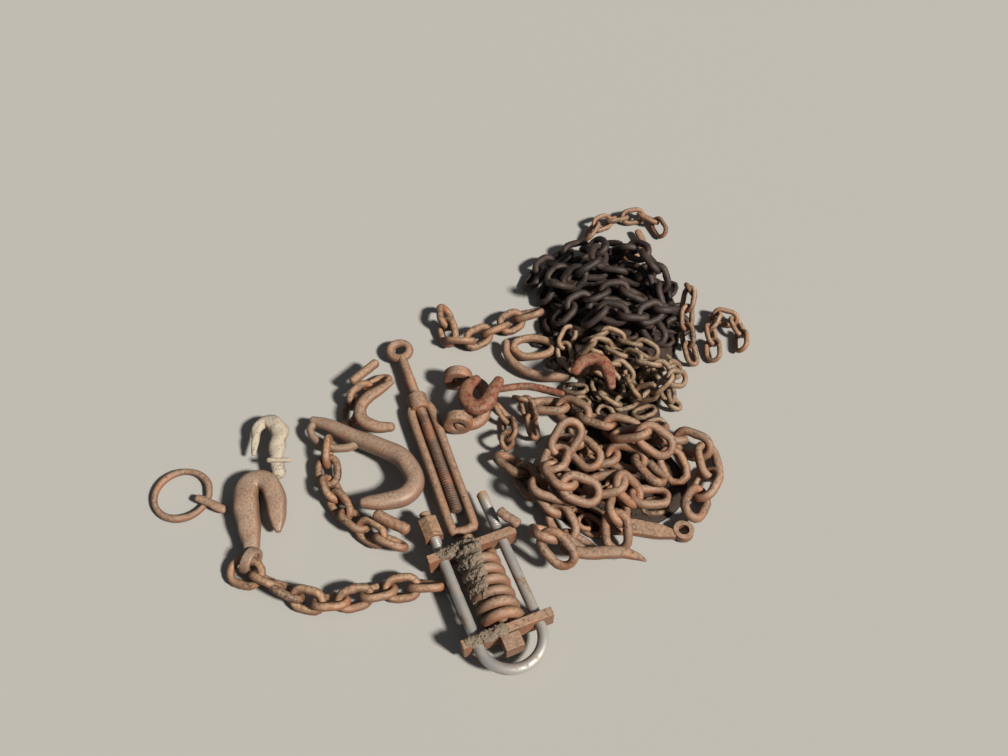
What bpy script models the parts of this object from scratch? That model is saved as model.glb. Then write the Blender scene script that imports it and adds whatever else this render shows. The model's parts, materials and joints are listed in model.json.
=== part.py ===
"""A heap of used iron chain with the hooks and fittings that lie in it.

Metres, +Z up. The heap lies on the floor at z = 0. Every length of chain is laid
along a route seen from above, and every piece comes to rest on what is already
down, so a change of one size lets the whole heap settle again.
"""

import math
import random
from dataclasses import dataclass

import bmesh
import bpy
import numpy as np
from mathutils import Matrix, Vector
from mathutils.bvhtree import BVHTree

MM = 0.001
COLLECTION_NAME = "chain_heap"
CUTTER_COLLECTION_NAME = "chain_heap_cutters"

WELD = 0.001 * MM            # vertices nearer than this are one

# Laying
GAP = 0.35 * MM              # left between pieces that touch
SETTLED = 0.02 * MM          # a piece that needs less lift than this is at rest
SWEEPS = 60                  # the most passes over a length of chain
STEEPEST = 0.75              # rise of a link as a share of its pitch
ROUTE_STEP = 2.0 * MM        # spacing of the points on a smoothed route
SURFACE_STEP = 3.0 * MM      # spacing of the test points over a fitting
SURFACE_BALL = 0.5 * MM      # radius of each test point
EDGE_SAMPLES = 3             # test points on each edge of a link
DROP_STEP = 1.0 * MM         # steps of the last drop onto what lies below
DROP_LIMIT = 60.0 * MM
DROP_HALVINGS = 6            # finer steps after the last whole one
SEED = 11
ROLL_PLAY = 13.0             # degrees that each link's lean may differ
CHIP_FACES = 24              # a loose bit with fewer faces is left over from a union


@dataclass(frozen=True)
class LinkSize:
    """One size of chain link, and how finely its wire is drawn."""

    wire: float
    pitch: float                 # length inside the link
    inside: float                # width inside the link
    crown_degrees: tuple         # where the points of an end's bend lie
    bevel_resolution: int
    corner: float                # outer radius of the flat-sided wire, against the round one
    bite: float                  # share of the wire that neighbours are worn and fused into


FIVE_POINTS = (-90.0, -45.0, 0.0, 45.0, 90.0)
FOUR_POINTS = (-90.0, -30.0, 30.0, 90.0)
LARGE = LinkSize(11.2 * MM, 34.0 * MM, 15.5 * MM, FOUR_POINTS, 1, 1.06, 0.22)
MEDIUM = LinkSize(9.8 * MM, 27.0 * MM, 13.5 * MM, FOUR_POINTS, 1, 1.06, 0.14)
SMALL = LinkSize(7.0 * MM, 25.0 * MM, 11.5 * MM, FOUR_POINTS, 0, 1.15, 0.22)
END = LinkSize(10.0 * MM, 31.0 * MM, 18.0 * MM, FIVE_POINTS, 1, 1.06, 0.14)
SHADED = LinkSize(9.8 * MM, 27.0 * MM, 13.5 * MM, FOUR_POINTS, 0, 1.15, 0.25)

# Colour, roughness and metallic value of each finish
RUST = ((0.25, 0.115, 0.06), 0.85, 0.3)
DUSTY_RUST = ((0.34, 0.20, 0.12), 0.9, 0.2)
DIRTY_RUST = ((0.30, 0.21, 0.11), 0.95, 0.1)
DARK_RUST = ((0.11, 0.06, 0.04), 0.9, 0.2)
FORGED_BROWN = ((0.33, 0.22, 0.16), 0.75, 0.3)
RED_PAINT = ((0.30, 0.10, 0.07), 0.6, 0.0)
GREY_MUD = ((0.45, 0.38, 0.30), 1.0, 0.0)
ZINC = ((0.55, 0.56, 0.58), 0.35, 1.0)

# Small fittings, with their sizes in millimetres
CORE_MOUNDS = (              # middle x and y, half length, half width, height
    (180, -112, 96, 70, 6),
    (190, -12, 62, 76, 6),
    (196, 150, 98, 120, 22),
)
CORE_SEGMENTS = 20
CORE_RINGS = 10


def clear_scene():
    """Take away whatever the start-up scene holds."""
    for item in list(bpy.data.objects):
        bpy.data.objects.remove(item, do_unlink=True)


def make_collection(name, hidden=False):
    """Link a new collection to the scene."""
    collection = bpy.data.collections.new(name)
    bpy.context.scene.collection.children.link(collection)
    collection.hide_render = hidden
    return collection


def make_material(name, finish):
    """A Principled BSDF material from a colour, a roughness and a metallic value."""
    colour, roughness, metallic = finish
    material = bpy.data.materials.new(name)
    material.use_nodes = True
    shader = material.node_tree.nodes["Principled BSDF"]
    shader.inputs["Base Color"].default_value = (*colour, 1.0)
    shader.inputs["Roughness"].default_value = roughness
    shader.inputs["Metallic"].default_value = metallic
    material.diffuse_color = (*colour, 1.0)
    return material


def smooth_route(points):
    """Points about ROUTE_STEP apart on a smooth curve through the given ones."""
    points = np.asarray(points, dtype=float)
    ends = np.vstack([2 * points[0] - points[1], points, 2 * points[-1] - points[-2]])
    pieces = []
    for k in range(1, len(ends) - 2):
        before, start, stop, after = ends[k - 1:k + 3]
        count = max(2, math.ceil(np.linalg.norm(stop - start) / ROUTE_STEP))
        t = np.linspace(0, 1, count, endpoint=False)[:, None]
        pieces.append(0.5 * (2 * start + (stop - before) * t
                             + (2 * before - 5 * start + 4 * stop - after) * t**2
                             + (3 * start - before - 3 * stop + after) * t**3))
    pieces.append(points[-1:])
    return np.vstack(pieces)


def resample(points, count):
    """The same curve with the given number of evenly spaced points."""
    points = np.asarray(points, dtype=float)
    lengths = np.linalg.norm(np.diff(points, axis=0), axis=1)
    along = np.concatenate([[0.0], np.cumsum(lengths)])
    places = np.linspace(0.0, along[-1], count)
    return np.column_stack([np.interp(places, along, column) for column in points.T])


class Bed:
    """Everything already laid, which the next piece rests on.

    Test balls give a first height for it, and the faces themselves the last drop.
    """

    def __init__(self):
        self.centres = np.empty((0, 3))
        self.radii = np.empty(0)
        self.solids = []

    def add(self, centres, radius):
        """Lay test balls of one radius at the given centres."""
        self.centres = np.vstack([self.centres, centres])
        self.radii = np.concatenate([self.radii, np.full(len(centres), radius)])

    def near(self, low, high, margin):
        """A smaller bed of only the balls within margin of a box seen from above."""
        inside = np.all((self.centres[:, :2] > low[:2] - margin)
                        & (self.centres[:, :2] < high[:2] + margin), axis=1)
        part = Bed()
        part.centres = self.centres[inside]
        part.radii = self.radii[inside]
        return part

    def lift(self, centres, radius):
        """How far each ball must rise to lie above the floor and all that is down."""
        need = radius + GAP - centres[:, 2]
        if not len(self.radii):
            return need
        apart = centres[:, None, :2] - self.centres[None, :, :2]
        beside = (apart**2).sum(axis=2)
        reach = (radius + self.radii[None, :] + GAP)**2
        top = self.centres[None, :, 2] + np.sqrt(np.maximum(reach - beside, 0.0))
        rise = np.where(beside < reach, top - centres[:, None, 2], -1.0)
        return np.maximum(need, rise.max(axis=1))


def world_faces(item):
    """An object's vertices in world coordinates and the corners of its faces."""
    places = np.array([item.matrix_world @ vertex.co for vertex in item.data.vertices])
    return places, [face.vertices[:] for face in item.data.polygons]


def tree_of(places, faces, drop=0.0):
    """A search tree over faces that are lowered by the given drop."""
    return BVHTree.FromPolygons([Vector(place) for place in places - (0.0, 0.0, drop)], faces)


def last_drop(bed, items):
    """Lower a group of objects until it is GAP above the first thing that it meets."""
    bpy.context.view_layer.update()
    shapes = [world_faces(item) for item in items]
    low = np.min([places.min(axis=0) for places, _ in shapes], axis=0)
    high = np.max([places.max(axis=0) for places, _ in shapes], axis=0)
    below = [tree for tree, least, most in bed.solids
             if np.all(least < high + DROP_LIMIT) and np.all(most > low - DROP_LIMIT)]

    def meets(drop):
        return low[2] - drop < 0.0 or any(
            tree_of(places, faces, drop).overlap(tree) for places, faces in shapes for tree in below)

    drop = 0.0
    while drop < DROP_LIMIT and not meets(drop + DROP_STEP):
        drop += DROP_STEP
    step = DROP_STEP
    for _ in range(DROP_HALVINGS):
        step /= 2
        if not meets(drop + step):
            drop += step
    drop = max(drop - GAP, 0.0)
    for item in items:
        item.matrix_world = Matrix.Translation((0.0, 0.0, -drop)) @ item.matrix_world
    return drop


def add_solids(bed, items):
    """Keep the faces of laid objects for the later drops."""
    bpy.context.view_layer.update()
    for item in items:
        places, faces = world_faces(item)
        bed.solids.append((tree_of(places, faces), places.min(axis=0), places.max(axis=0)))


def tube_mesh(points, radii, cyclic=False, bevel_resolution=1):
    """A closed tube along the points, made as a curve with a bevel and filled ends."""
    curve = bpy.data.curves.new("tube", "CURVE")
    curve.dimensions = "3D"
    curve.bevel_depth = MM
    curve.bevel_resolution = bevel_resolution
    curve.use_fill_caps = not cyclic
    curve.twist_mode = "MINIMUM"
    spline = curve.splines.new("POLY")
    spline.points.add(len(points) - 1)
    for point, place, radius in zip(spline.points, points, radii):
        point.co = (*place, 1.0)
        point.radius = radius / MM
    spline.use_cyclic_u = cyclic
    drawn = bpy.data.objects.new("tube", curve)
    bpy.context.scene.collection.objects.link(drawn)
    graph = bpy.context.evaluated_depsgraph_get()
    mesh = bpy.data.meshes.new_from_object(drawn.evaluated_get(graph))
    bpy.data.objects.remove(drawn)
    bpy.data.curves.remove(curve)
    weld(mesh)
    return mesh


def weld(mesh):
    """Join the vertices that lie together and turn every face outward."""
    shape = bmesh.new()
    shape.from_mesh(mesh)
    bmesh.ops.remove_doubles(shape, verts=shape.verts, dist=WELD)
    bmesh.ops.recalc_face_normals(shape, faces=shape.faces)
    shape.to_mesh(mesh)
    shape.free()


def cylinder_mesh(radius, depth, sides, matrix=Matrix.Identity(4)):
    """A closed cylinder, by default upright about the origin."""
    shape = bmesh.new()
    bmesh.ops.create_cone(shape, cap_ends=True, segments=sides, radius1=radius, radius2=radius,
                          depth=depth, matrix=matrix)
    return as_mesh(shape)


def box_mesh(size, matrix=Matrix.Identity(4)):
    """A closed box of the given length, width and height about the origin."""
    shape = bmesh.new()
    bmesh.ops.create_cube(shape, size=1.0, matrix=matrix @ Matrix.Diagonal((*size, 1.0)))
    return as_mesh(shape)


def as_mesh(shape):
    """Write a bmesh out as a new mesh and free it."""
    mesh = bpy.data.meshes.new("shape")
    shape.to_mesh(mesh)
    shape.free()
    return mesh


class Workshop:
    """Makes the heap's objects: holds the collections and joins or cuts meshes."""

    def __init__(self):
        self.parts = make_collection(COLLECTION_NAME)
        self.cutters = make_collection(CUTTER_COLLECTION_NAME, hidden=True)

    def combine(self, mesh, others, operation):
        """Join the other meshes to the first, or cut them out of it."""
        base = bpy.data.objects.new("base", mesh)
        self.parts.objects.link(base)
        tools = []
        for other in others:
            tool = bpy.data.objects.new("tool", other)
            tool.display_type = "WIRE"
            tool.hide_render = True
            self.cutters.objects.link(tool)
            tools.append(tool)
            modifier = base.modifiers.new("combine", "BOOLEAN")
            modifier.operation = operation
            modifier.solver = "EXACT"
            modifier.use_self = operation == "UNION"     # links of one half may meet at a bend
            modifier.object = tool
        graph = bpy.context.evaluated_depsgraph_get()
        result = bpy.data.meshes.new_from_object(base.evaluated_get(graph))
        for item in [base, *tools]:
            bpy.data.objects.remove(item)
        weld(result)
        return result

    def union(self, mesh, *others):
        """Fuse the other meshes into the first."""
        return self.combine(mesh, others, "UNION")

    def cut(self, mesh, *others):
        """Cut the other meshes out of the first."""
        return self.combine(mesh, others, "DIFFERENCE")

    def part(self, name, mesh, finish, matrix=Matrix.Identity(4), smooth=True):
        """Put a named part with its own material in the heap's collection."""
        mesh.name = name
        mesh.materials.clear()
        mesh.materials.append(make_material(name, finish))
        for face in mesh.polygons:
            face.use_smooth = smooth
        item = bpy.data.objects.new(name, mesh)
        item.matrix_world = matrix
        self.parts.objects.link(item)
        return item


def link_outline(size):
    """The corner points of a link's centreline, in its own plane."""
    half_length = (size.pitch + size.wire * (1 - size.bite)) / 2
    turn = (size.inside + size.wire) / 2
    angles = np.radians(size.crown_degrees)
    reach = np.cos(angles).max()
    crown = np.column_stack([half_length - turn + turn * np.cos(angles) / reach,
                             turn * np.sin(angles)])
    return np.column_stack([np.vstack([crown, -crown]), np.zeros(2 * len(crown))])


def link_balls(size):
    """Test points along a link's centreline."""
    corners = link_outline(size)
    following = np.roll(corners, -1, axis=0)
    shares = np.arange(EDGE_SAMPLES)[:, None, None] / EDGE_SAMPLES
    return (corners + shares * (following - corners)).reshape(-1, 3)


def link_axes(start, stop, roll):
    """Length, width and normal directions of a link between two joints."""
    along = (stop - start) / np.linalg.norm(stop - start)
    level = np.cross((0.0, 0.0, 1.0), along)
    level /= np.linalg.norm(level)
    upright = np.cross(along, level)
    width = math.cos(roll) * level + math.sin(roll) * upright
    return np.array([along, width, np.cross(along, width)])


def step_along(path, chords):
    """Plan places of the joints, each one chord further along the path."""
    joints = [path[0]]
    at = 0
    for chord in chords:
        apart = np.linalg.norm(path[at:] - joints[-1], axis=1)
        beyond = np.nonzero(apart >= chord)[0]
        if len(beyond):
            far = beyond[0]
            share = (chord - apart[far - 1]) / (apart[far] - apart[far - 1])
            joints.append(path[at + far - 1] + share * (path[at + far] - path[at + far - 1]))
            at += far - 1
        else:
            way = path[-1] - path[-3]
            joints.append(joints[-1] + way / np.linalg.norm(way) * chord)
    return np.array(joints)


@dataclass
class Run:
    """A length of chain: its name, size, finish and route seen from above, in millimetres."""

    name: str
    size: LinkSize
    finish: tuple
    route: list
    roll: float = 42.0               # degrees that links lean, to one side and then the other
    first_size: LinkSize = None      # a first link of another size
    first_rolls: tuple = ()          # rolls of the first links, in degrees
    start_height: float = None       # height that the first joint is held at

    def sizes(self, path):
        """The size of each link that the route has room for."""
        length = np.linalg.norm(np.diff(path, axis=0), axis=1).sum()
        first = self.first_size or self.size
        return [first] + [self.size] * max(1, int((length - first.pitch) / self.size.pitch))

    def rolls(self, count):
        """Each link's roll in radians: to one side, then to the other, never quite alike."""
        play = random.Random(f"{SEED} {self.name}")
        rolls = [self.roll * (1 if k % 2 else -1) + play.uniform(-ROLL_PLAY, ROLL_PLAY)
                 for k in range(count)]
        rolls[:len(self.first_rolls)] = self.first_rolls
        return np.radians(rolls[:count])

    def lay(self, bed):
        """Let the run settle on the bed and give each link's size, centre and axes."""
        path = smooth_route(np.array(self.route) * MM)
        sizes = self.sizes(path)
        pitches = np.array([size.pitch for size in sizes])
        rolls = self.rolls(len(sizes))
        margin = LARGE.pitch
        bed = bed.near(path.min(axis=0), path.max(axis=0), margin)
        held = self.start_height is not None
        heights = np.full(len(sizes) + 1, self.size.wire / 2)
        if held:
            heights[0] = self.start_height * MM
        for _ in range(SWEEPS):
            joints = step_along(path, np.sqrt(pitches**2 - np.diff(heights)**2))
            worst = 0.0
            for k, size in enumerate(sizes):
                start = np.append(joints[k], heights[k])
                stop = np.append(joints[k + 1], heights[k + 1])
                axes = link_axes(start, stop, rolls[k])
                balls = (start + stop) / 2 + link_balls(size) @ axes
                radius = size.wire / 2 * size.corner
                close = bed.near(balls.min(axis=0), balls.max(axis=0), 2 * radius + GAP)
                need = close.lift(balls, radius)
                lowest = need.argmax()
                if need[lowest] <= SETTLED:
                    continue
                worst = max(worst, need[lowest])
                share = min(max((balls[lowest] - start) @ axes[0] / size.pitch, 0.0), 1.0)
                if held and k == 0:
                    heights[1] += need[lowest] / max(share, 0.4)
                    continue
                spread = share**2 + (1 - share)**2
                heights[k] += need[lowest] * (1 - share) / spread
                heights[k + 1] += need[lowest] * share / spread
            heights = ease(heights, pitches * STEEPEST, held)
            if worst <= SETTLED:
                break
        joints = step_along(path, np.sqrt(pitches**2 - np.diff(heights)**2))
        links = []
        for k, size in enumerate(sizes):
            start = np.append(joints[k], heights[k])
            stop = np.append(joints[k + 1], heights[k + 1])
            links.append([size, (start + stop) / 2, link_axes(start, stop, rolls[k])])
        if not held:
            rest(links, bed)
        return links


def ease(heights, limits, held):
    """Raise joints where a link would stand steeper than its limit."""
    heights = heights.copy()
    for k in range(1, len(heights)):
        heights[k] = max(heights[k], heights[k - 1] - limits[k - 1])
    for k in range(len(heights) - 2, -1, -1):
        if not (held and k == 0):
            heights[k] = max(heights[k], heights[k + 1] - limits[k])
    return heights


def link_lift(links, bed):
    """The lift that a laid run still needs, below nothing where it has room to drop."""
    needs = []
    for size, centre, axes in links:
        balls = centre + link_balls(size) @ axes
        radius = size.wire / 2 * size.corner
        close = bed.near(balls.min(axis=0), balls.max(axis=0), 2 * radius + GAP)
        needs.append(close.lift(balls, radius).max())
    return max(needs)


def rest(links, bed):
    """Raise or lower a whole run until it just touches what is below it."""
    lift = link_lift(links, bed)
    for link in links:
        link[1] = link[1] + (0.0, 0.0, lift)


def drop_chips(mesh):
    """Take away the slivers that a union can leave between two links."""
    shape = bmesh.new()
    shape.from_mesh(mesh)
    waiting = set(shape.faces)
    chips = []
    while waiting:
        rim = [waiting.pop()]
        bit = []
        while rim:
            face = rim.pop()
            bit.append(face)
            beside = {other for edge in face.edges for other in edge.link_faces} & waiting
            waiting -= beside
            rim += beside
        if len(bit) < CHIP_FACES:
            chips += bit
    bmesh.ops.delete(shape, geom=chips, context="FACES")
    shape.to_mesh(mesh)
    shape.free()
    return mesh


def chain_mesh(workshop, links, patterns):
    """Fuse the links of a run: every other one in one mesh, the rest in another."""
    halves = [bmesh.new(), bmesh.new()]
    for k, (size, centre, axes) in enumerate(links):
        shape = halves[k % 2]
        already = len(shape.verts)
        shape.from_mesh(patterns[size])
        shape.verts.ensure_lookup_table()
        pose = Matrix(axes.T.tolist()).to_4x4()
        pose.translation = Vector(centre)
        bmesh.ops.transform(shape, matrix=pose, verts=shape.verts[already:])
    even, odd = (as_mesh(shape) for shape in halves)
    return drop_chips(workshop.union(even, odd))


def lay_run(workshop, bed, run, patterns):
    """Lay one run, make its part and add it to the bed, and give its links."""
    links = run.lay(bed)
    item = workshop.part(run.name, chain_mesh(workshop, links, patterns), run.finish)
    if run.start_height is None:
        drop = last_drop(bed, [item])
        links = [(size, centre - (0.0, 0.0, drop), axes) for size, centre, axes in links]
    for size, centre, axes in links:
        bed.add(centre + link_balls(size) @ axes, size.wire / 2 * size.corner)
    add_solids(bed, [item])
    return links


def surface_points(item):
    """Points over an object's faces, about SURFACE_STEP apart, in world coordinates."""
    mesh = item.data
    mesh.calc_loop_triangles()
    places = np.array([item.matrix_world @ vertex.co for vertex in mesh.vertices])
    found = [places]
    for triangle in mesh.loop_triangles:
        a, b, c = places[list(triangle.vertices)]
        longest = max(np.linalg.norm(b - a), np.linalg.norm(c - b), np.linalg.norm(a - c))
        count = math.ceil(longest / SURFACE_STEP)
        if count < 2:
            continue
        u, v = np.meshgrid(np.arange(count + 1), np.arange(count + 1))
        inside = u + v <= count
        u, v = u[inside][:, None] / count, v[inside][:, None] / count
        found.append(a + u * (b - a) + v * (c - a))
    points = np.vstack(found)
    cells = np.round(points / (SURFACE_STEP * 0.6)).astype(int)
    return points[np.unique(cells, axis=0, return_index=True)[1]]


def settle(bed, items, resting=True):
    """Raise or lower a group of fittings together until it rests, and add it to the bed."""
    bpy.context.view_layer.update()
    points = np.vstack([surface_points(item) for item in items])
    if resting:
        close = bed.near(points.min(axis=0), points.max(axis=0), LARGE.wire)
        lift = max(close.lift(block, SURFACE_BALL).max()
                   for block in np.array_split(points, 1 + len(points) // 400))
        for item in items:
            item.matrix_world = Matrix.Translation((0.0, 0.0, lift)) @ item.matrix_world
        points = points + (0.0, 0.0, lift - last_drop(bed, items))
    bed.add(points, SURFACE_BALL)
    add_solids(bed, items)


def rod_mesh(points, closed=False, count=0, bevel_resolution=1, flatten=1.0):
    """A bar along points of x, y, z and radius in millimetres, smoothed between them."""
    points = np.asarray(points, dtype=float) * MM
    if closed:
        points = np.vstack([points, points[:1]])
    if count:
        points = resample(smooth_route(points), count)
    if closed:
        points = points[:-1]
    places = points[:, :3] / (1.0, 1.0, flatten)
    mesh = tube_mesh(places, points[:, 3], closed, bevel_resolution)
    mesh.transform(Matrix.Diagonal((1.0, 1.0, flatten, 1.0)))
    return mesh


def level(points, height):
    """Give points of x, y and radius a height in millimetres."""
    return [(x, y, height, radius) for x, y, radius in points]


def pose(x, y, z=0.0, heading=0.0):
    """A place in millimetres with a heading in degrees about the upright axis."""
    return Matrix.Translation((x * MM, y * MM, z * MM)) @ Matrix.Rotation(math.radians(heading), 4, "Z")


ALONG_X = Matrix.Rotation(math.radians(90), 4, "Y")
ALONG_Y = Matrix.Rotation(math.radians(90), 4, "X")


def build_core(workshop, bed):
    """A low mound in place of the chain that is hidden under the visible layers."""
    meshes = []
    for x, y, length, width, height in CORE_MOUNDS:
        shape = bmesh.new()
        bmesh.ops.create_uvsphere(shape, u_segments=CORE_SEGMENTS, v_segments=CORE_RINGS, radius=MM)
        bmesh.ops.transform(shape, matrix=pose(x, y) @ Matrix.Diagonal((length, width, height, 1.0)),
                            verts=shape.verts)
        cut = bmesh.ops.bisect_plane(shape, geom=[*shape.verts, *shape.edges, *shape.faces],
                                     plane_co=(0, 0, 0), plane_no=(0, 0, -1), clear_outer=True)
        edges = [item for item in cut["geom_cut"] if isinstance(item, bmesh.types.BMEdge)]
        bmesh.ops.contextual_create(shape, geom=edges)
        bmesh.ops.recalc_face_normals(shape, faces=shape.faces)
        meshes.append(as_mesh(shape))
    core = workshop.part("core", workshop.union(*meshes), DARK_RUST)
    settle(bed, [core], resting=False)


LEFT_HOOK_EYE_RADIUS = 16.5
LEFT_HOOK_EYE_HOLE = 10.5
LEFT_HOOK_EYE_WIDTH = 11.0
LEFT_HOOK_BAR = [                # x, y and radius, from the middle of the eye
    (-1, 9, 7.5), (-3, 22, 10.0), (-9, 45, 13.0), (-16, 69, 14.8), (-19, 88, 14.3), (-16, 102, 13.0),
    (-4, 107, 12.4), (9, 99, 12.6), (17, 82, 12.4), (21, 64, 10.8), (24, 48, 7.3), (26, 40, 3.8),
]


def build_left_hook(workshop, bed, end_link):
    """The grab hook at the left end, with its eye round one side of the end link."""
    size, centre, axes = end_link
    side = centre + axes[1] * (size.inside + size.wire) / 2
    place = (side[0], side[1], LEFT_HOOK_EYE_RADIUS * MM + GAP)
    heading = Matrix.Rotation(math.atan2(axes[0][1], axes[0][0]), 4, "Z")
    bar = rod_mesh(level(LEFT_HOOK_BAR, 0.0), count=24, bevel_resolution=2)
    across = heading @ ALONG_X
    eye = cylinder_mesh(LEFT_HOOK_EYE_RADIUS * MM, LEFT_HOOK_EYE_WIDTH * MM, 16, across)
    hole = cylinder_mesh(LEFT_HOOK_EYE_HOLE * MM, 3 * LEFT_HOOK_EYE_WIDTH * MM, 12, across)
    mesh = workshop.cut(workshop.union(bar, eye), hole)
    hook = workshop.part("left_grab_hook", mesh, FORGED_BROWN, Matrix.Translation(place))
    settle(bed, [hook], resting=False)


BIG_HOOK_BAR = [                 # x, y, z and radius
    (-191, -33, 18.5, 6.0), (-175, -39, 19, 8.2), (-155, -49, 20, 9.4), (-129, -63, 21, 10.6),
    (-97, -78, 23, 11.7), (-74, -94, 25, 12.3), (-60, -117, 27, 12.1), (-58, -135, 29, 12.0),
    (-69, -151, 32, 11.3), (-91, -159, 35, 8.9), (-109, -161, 37, 6.5), (-118, -162, 38, 3.6),
]
BIG_HOOK_EYE = [
    (-189, -36, 18.5, 5), (-193, -46, 18.5, 5), (-188, -58, 18.5, 5), (-176, -68, 18.5, 5),
    (-159, -74, 18.5, 5), (-142, -73, 19, 5.5), (-128, -66, 21, 6),
]


def build_big_hook(workshop, bed):
    """The large slip hook with its drop-shaped eye."""
    bar = rod_mesh(BIG_HOOK_BAR, count=26, bevel_resolution=2)
    eye = rod_mesh(BIG_HOOK_EYE, count=14)
    hook = workshop.part("big_hook", workshop.union(bar, eye), FORGED_BROWN)
    settle(bed, [hook], resting=False)


def build_bar(workshop, bed, name):
    """One of the hooks, rods and rings that are a single bent bar."""
    finish, closed, count, sides, flatten, points = BARS[name]
    mesh = rod_mesh(points, closed, count, sides, flatten)
    settle(bed, [workshop.part(name, mesh, finish)])


BARS = {  # finish, closed, points, bevel resolution, flattening, then x y z radius of each point
    "loose_ring": (DUSTY_RUST, True, 20, 1, 1.0,
                   [(-341 + 33 * math.cos(a), -133 + 33 * math.sin(a), 5, 4.4)
                    for a in np.radians(range(0, 360, 30))]),
    "ring_bar": (DUSTY_RUST, False, 3, 1, 0.6,
                 [(-318, -141, 8, 5), (-302, -148, 7, 5.5), (-286, -155, 5, 5.5)]),
    "muddy_hook": (GREY_MUD, False, 20, 2, 0.8,
                   level([(-223, -112, 8.5), (-228, -96, 8.6), (-231, -74, 10.5), (-230, -54, 11),
                          (-238, -40, 10), (-251, -36, 7.6), (-259, -46, 6.3), (-259, -65, 5),
                          (-258, -84, 3)], 11)),
    "muddy_pin": (GREY_MUD, False, 3, 1, 1.0, level([(-236, -99, 3), (-224, -99, 3), (-210, -99, 3)], 5)),
    "rod_stub": (DUSTY_RUST, False, 4, 1, 1.0,
                 level([(-97, -176, 7), (-80, -186, 7), (-64, -194, 7)], 8)),
    "crescent_hook": (DUSTY_RUST, False, 16, 2, 0.8,
                      level([(-95, 19, 4), (-109, 6, 6.4), (-124, -7, 7.7), (-131, -24, 7.6),
                             (-126, -41, 8.2), (-110, -50, 8.1), (-90, -51, 6)], 10)),
    "oblong_ring": (RUST, True, 18, 1, 1.0,
                    level([(62, 88, 5.3), (66, 100, 5.4), (82, 107, 5.4), (100, 105, 5.4),
                           (114, 96, 5.3), (112, 84, 5.3), (98, 77, 5.3), (76, 76, 5.3)], 6)),
    "straight_rod": (RED_PAINT, False, 6, 1, 1.0,
                     [(45, 27, 6, 4.6), (84, 31, 6, 4.8), (126, 19, 6, 4.5)]),
    "red_hook": (RED_PAINT, False, 16, 2, 0.8,
                 level([(16, 16, 5.2), (4, 3, 8.5), (2, -16, 9.5), (15, -29, 10), (28, -22, 10),
                        (36, -3, 8.9), (44, 13, 6.4)], 12)),
    "curved_rod": (DUSTY_RUST, False, 14, 1, 1.0,
                   [(53, 97, 10, 4.7), (54, 78, 8, 5.3), (66, 60, 7, 5.9), (84, 47, 7, 6.3),
                    (107, 41, 7, 6.3), (133, 41, 7, 5.8)]),
    "arc_hook": (RED_PAINT, False, 16, 2, 0.75,
                 level([(140, 15, 6.4), (149, 29, 7.7), (164, 35, 8.4), (176, 27, 9), (182, 9, 7.7),
                        (184, -9, 5)], 12)),
    "prong_bar": (DUSTY_RUST, False, 10, 1, 0.8,
                  level([(118, -221, 5.8), (143, -226, 7.2), (164, -225, 7.4), (184, -225, 6.8),
                         (200, -230, 4.6), (210, -235, 1.7)], 8)),
    "back_hook": (DUSTY_RUST, False, 12, 1, 0.6,
                  level([(218, 276, 8), (232, 262, 9.5), (249, 272, 8), (253, 292, 5.5),
                         (248, 312, 5)], 8)),
    "short_link": (RUST, False, 3, 1, 1.0, level([(-144, 22, 6), (-131, 36, 6), (-118, 50, 6)], 6)),
    "broken_bar": (DUSTY_RUST, False, 3, 1, 0.7,
                   level([(45, -176, 6), (55, -184, 6), (66, -192, 6)], 6)),
}

TURNBUCKLE_AT = (-60, -3)
TURNBUCKLE_HEADING = 19.0
TURNBUCKLE_HEIGHT = 10.5
TURNBUCKLE_LENGTH = 194.0
TURNBUCKLE_HALF_WIDTH = 13.6
TURNBUCKLE_SIDE = 5.9            # radius of a side bar
COLLAR_RADIUS = 13.2
COLLAR_LENGTH = 24.0
EYE_ROD_RADIUS = 6.4
EYE_ROD_REACH = 165.0            # how far the rod runs into the body
RING_AWAY = 92.0                 # from the collar to the ring's middle
RING_RADIUS = 12.8
RING_WIRE = 5.8


def build_turnbuckle(workshop, bed):
    """The open turnbuckle body and the eye rod screwed into its collar."""
    place = pose(*TURNBUCKLE_AT, TURNBUCKLE_HEIGHT, TURNBUCKLE_HEADING)
    half, side, end = TURNBUCKLE_HALF_WIDTH, TURNBUCKLE_SIDE, TURNBUCKLE_LENGTH
    loop = [(0, 0), (0.7 * half, -6), (half, -20), (half, -end / 2), (half, -end + 0.8 * half),
            (0.7 * half, -end + 2), (0, -end), (-0.7 * half, -end + 2), (-half, -end + 0.8 * half),
            (-half, -end / 2), (-half, -20), (-0.7 * half, -6)]
    loop = rod_mesh([(x, y, 0, side) for x, y in loop], closed=True)
    collar = cylinder_mesh(COLLAR_RADIUS * MM, COLLAR_LENGTH * MM, 12, ALONG_Y)
    bore = cylinder_mesh(EYE_ROD_RADIUS * MM + GAP, 3 * COLLAR_LENGTH * MM, 12, ALONG_Y)
    body = workshop.part("turnbuckle_body", workshop.cut(workshop.union(loop, collar), bore),
                         DUSTY_RUST, place)
    rod = cylinder_mesh(EYE_ROD_RADIUS * MM, (RING_AWAY - RING_RADIUS + EYE_ROD_REACH) * MM, 12,
                        Matrix.Translation((0, (RING_AWAY - RING_RADIUS - EYE_ROD_REACH) / 2 * MM, 0))
                        @ ALONG_Y)
    ring = rod_mesh([(RING_RADIUS * math.cos(a), RING_AWAY + RING_RADIUS * math.sin(a), 0, RING_WIRE)
                     for a in np.radians(range(0, 360, 24))], closed=True)
    eye_rod = workshop.part("turnbuckle_eye_rod", workshop.union(rod, ring), DUSTY_RUST, place)
    settle(bed, [body, eye_rod])


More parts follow.
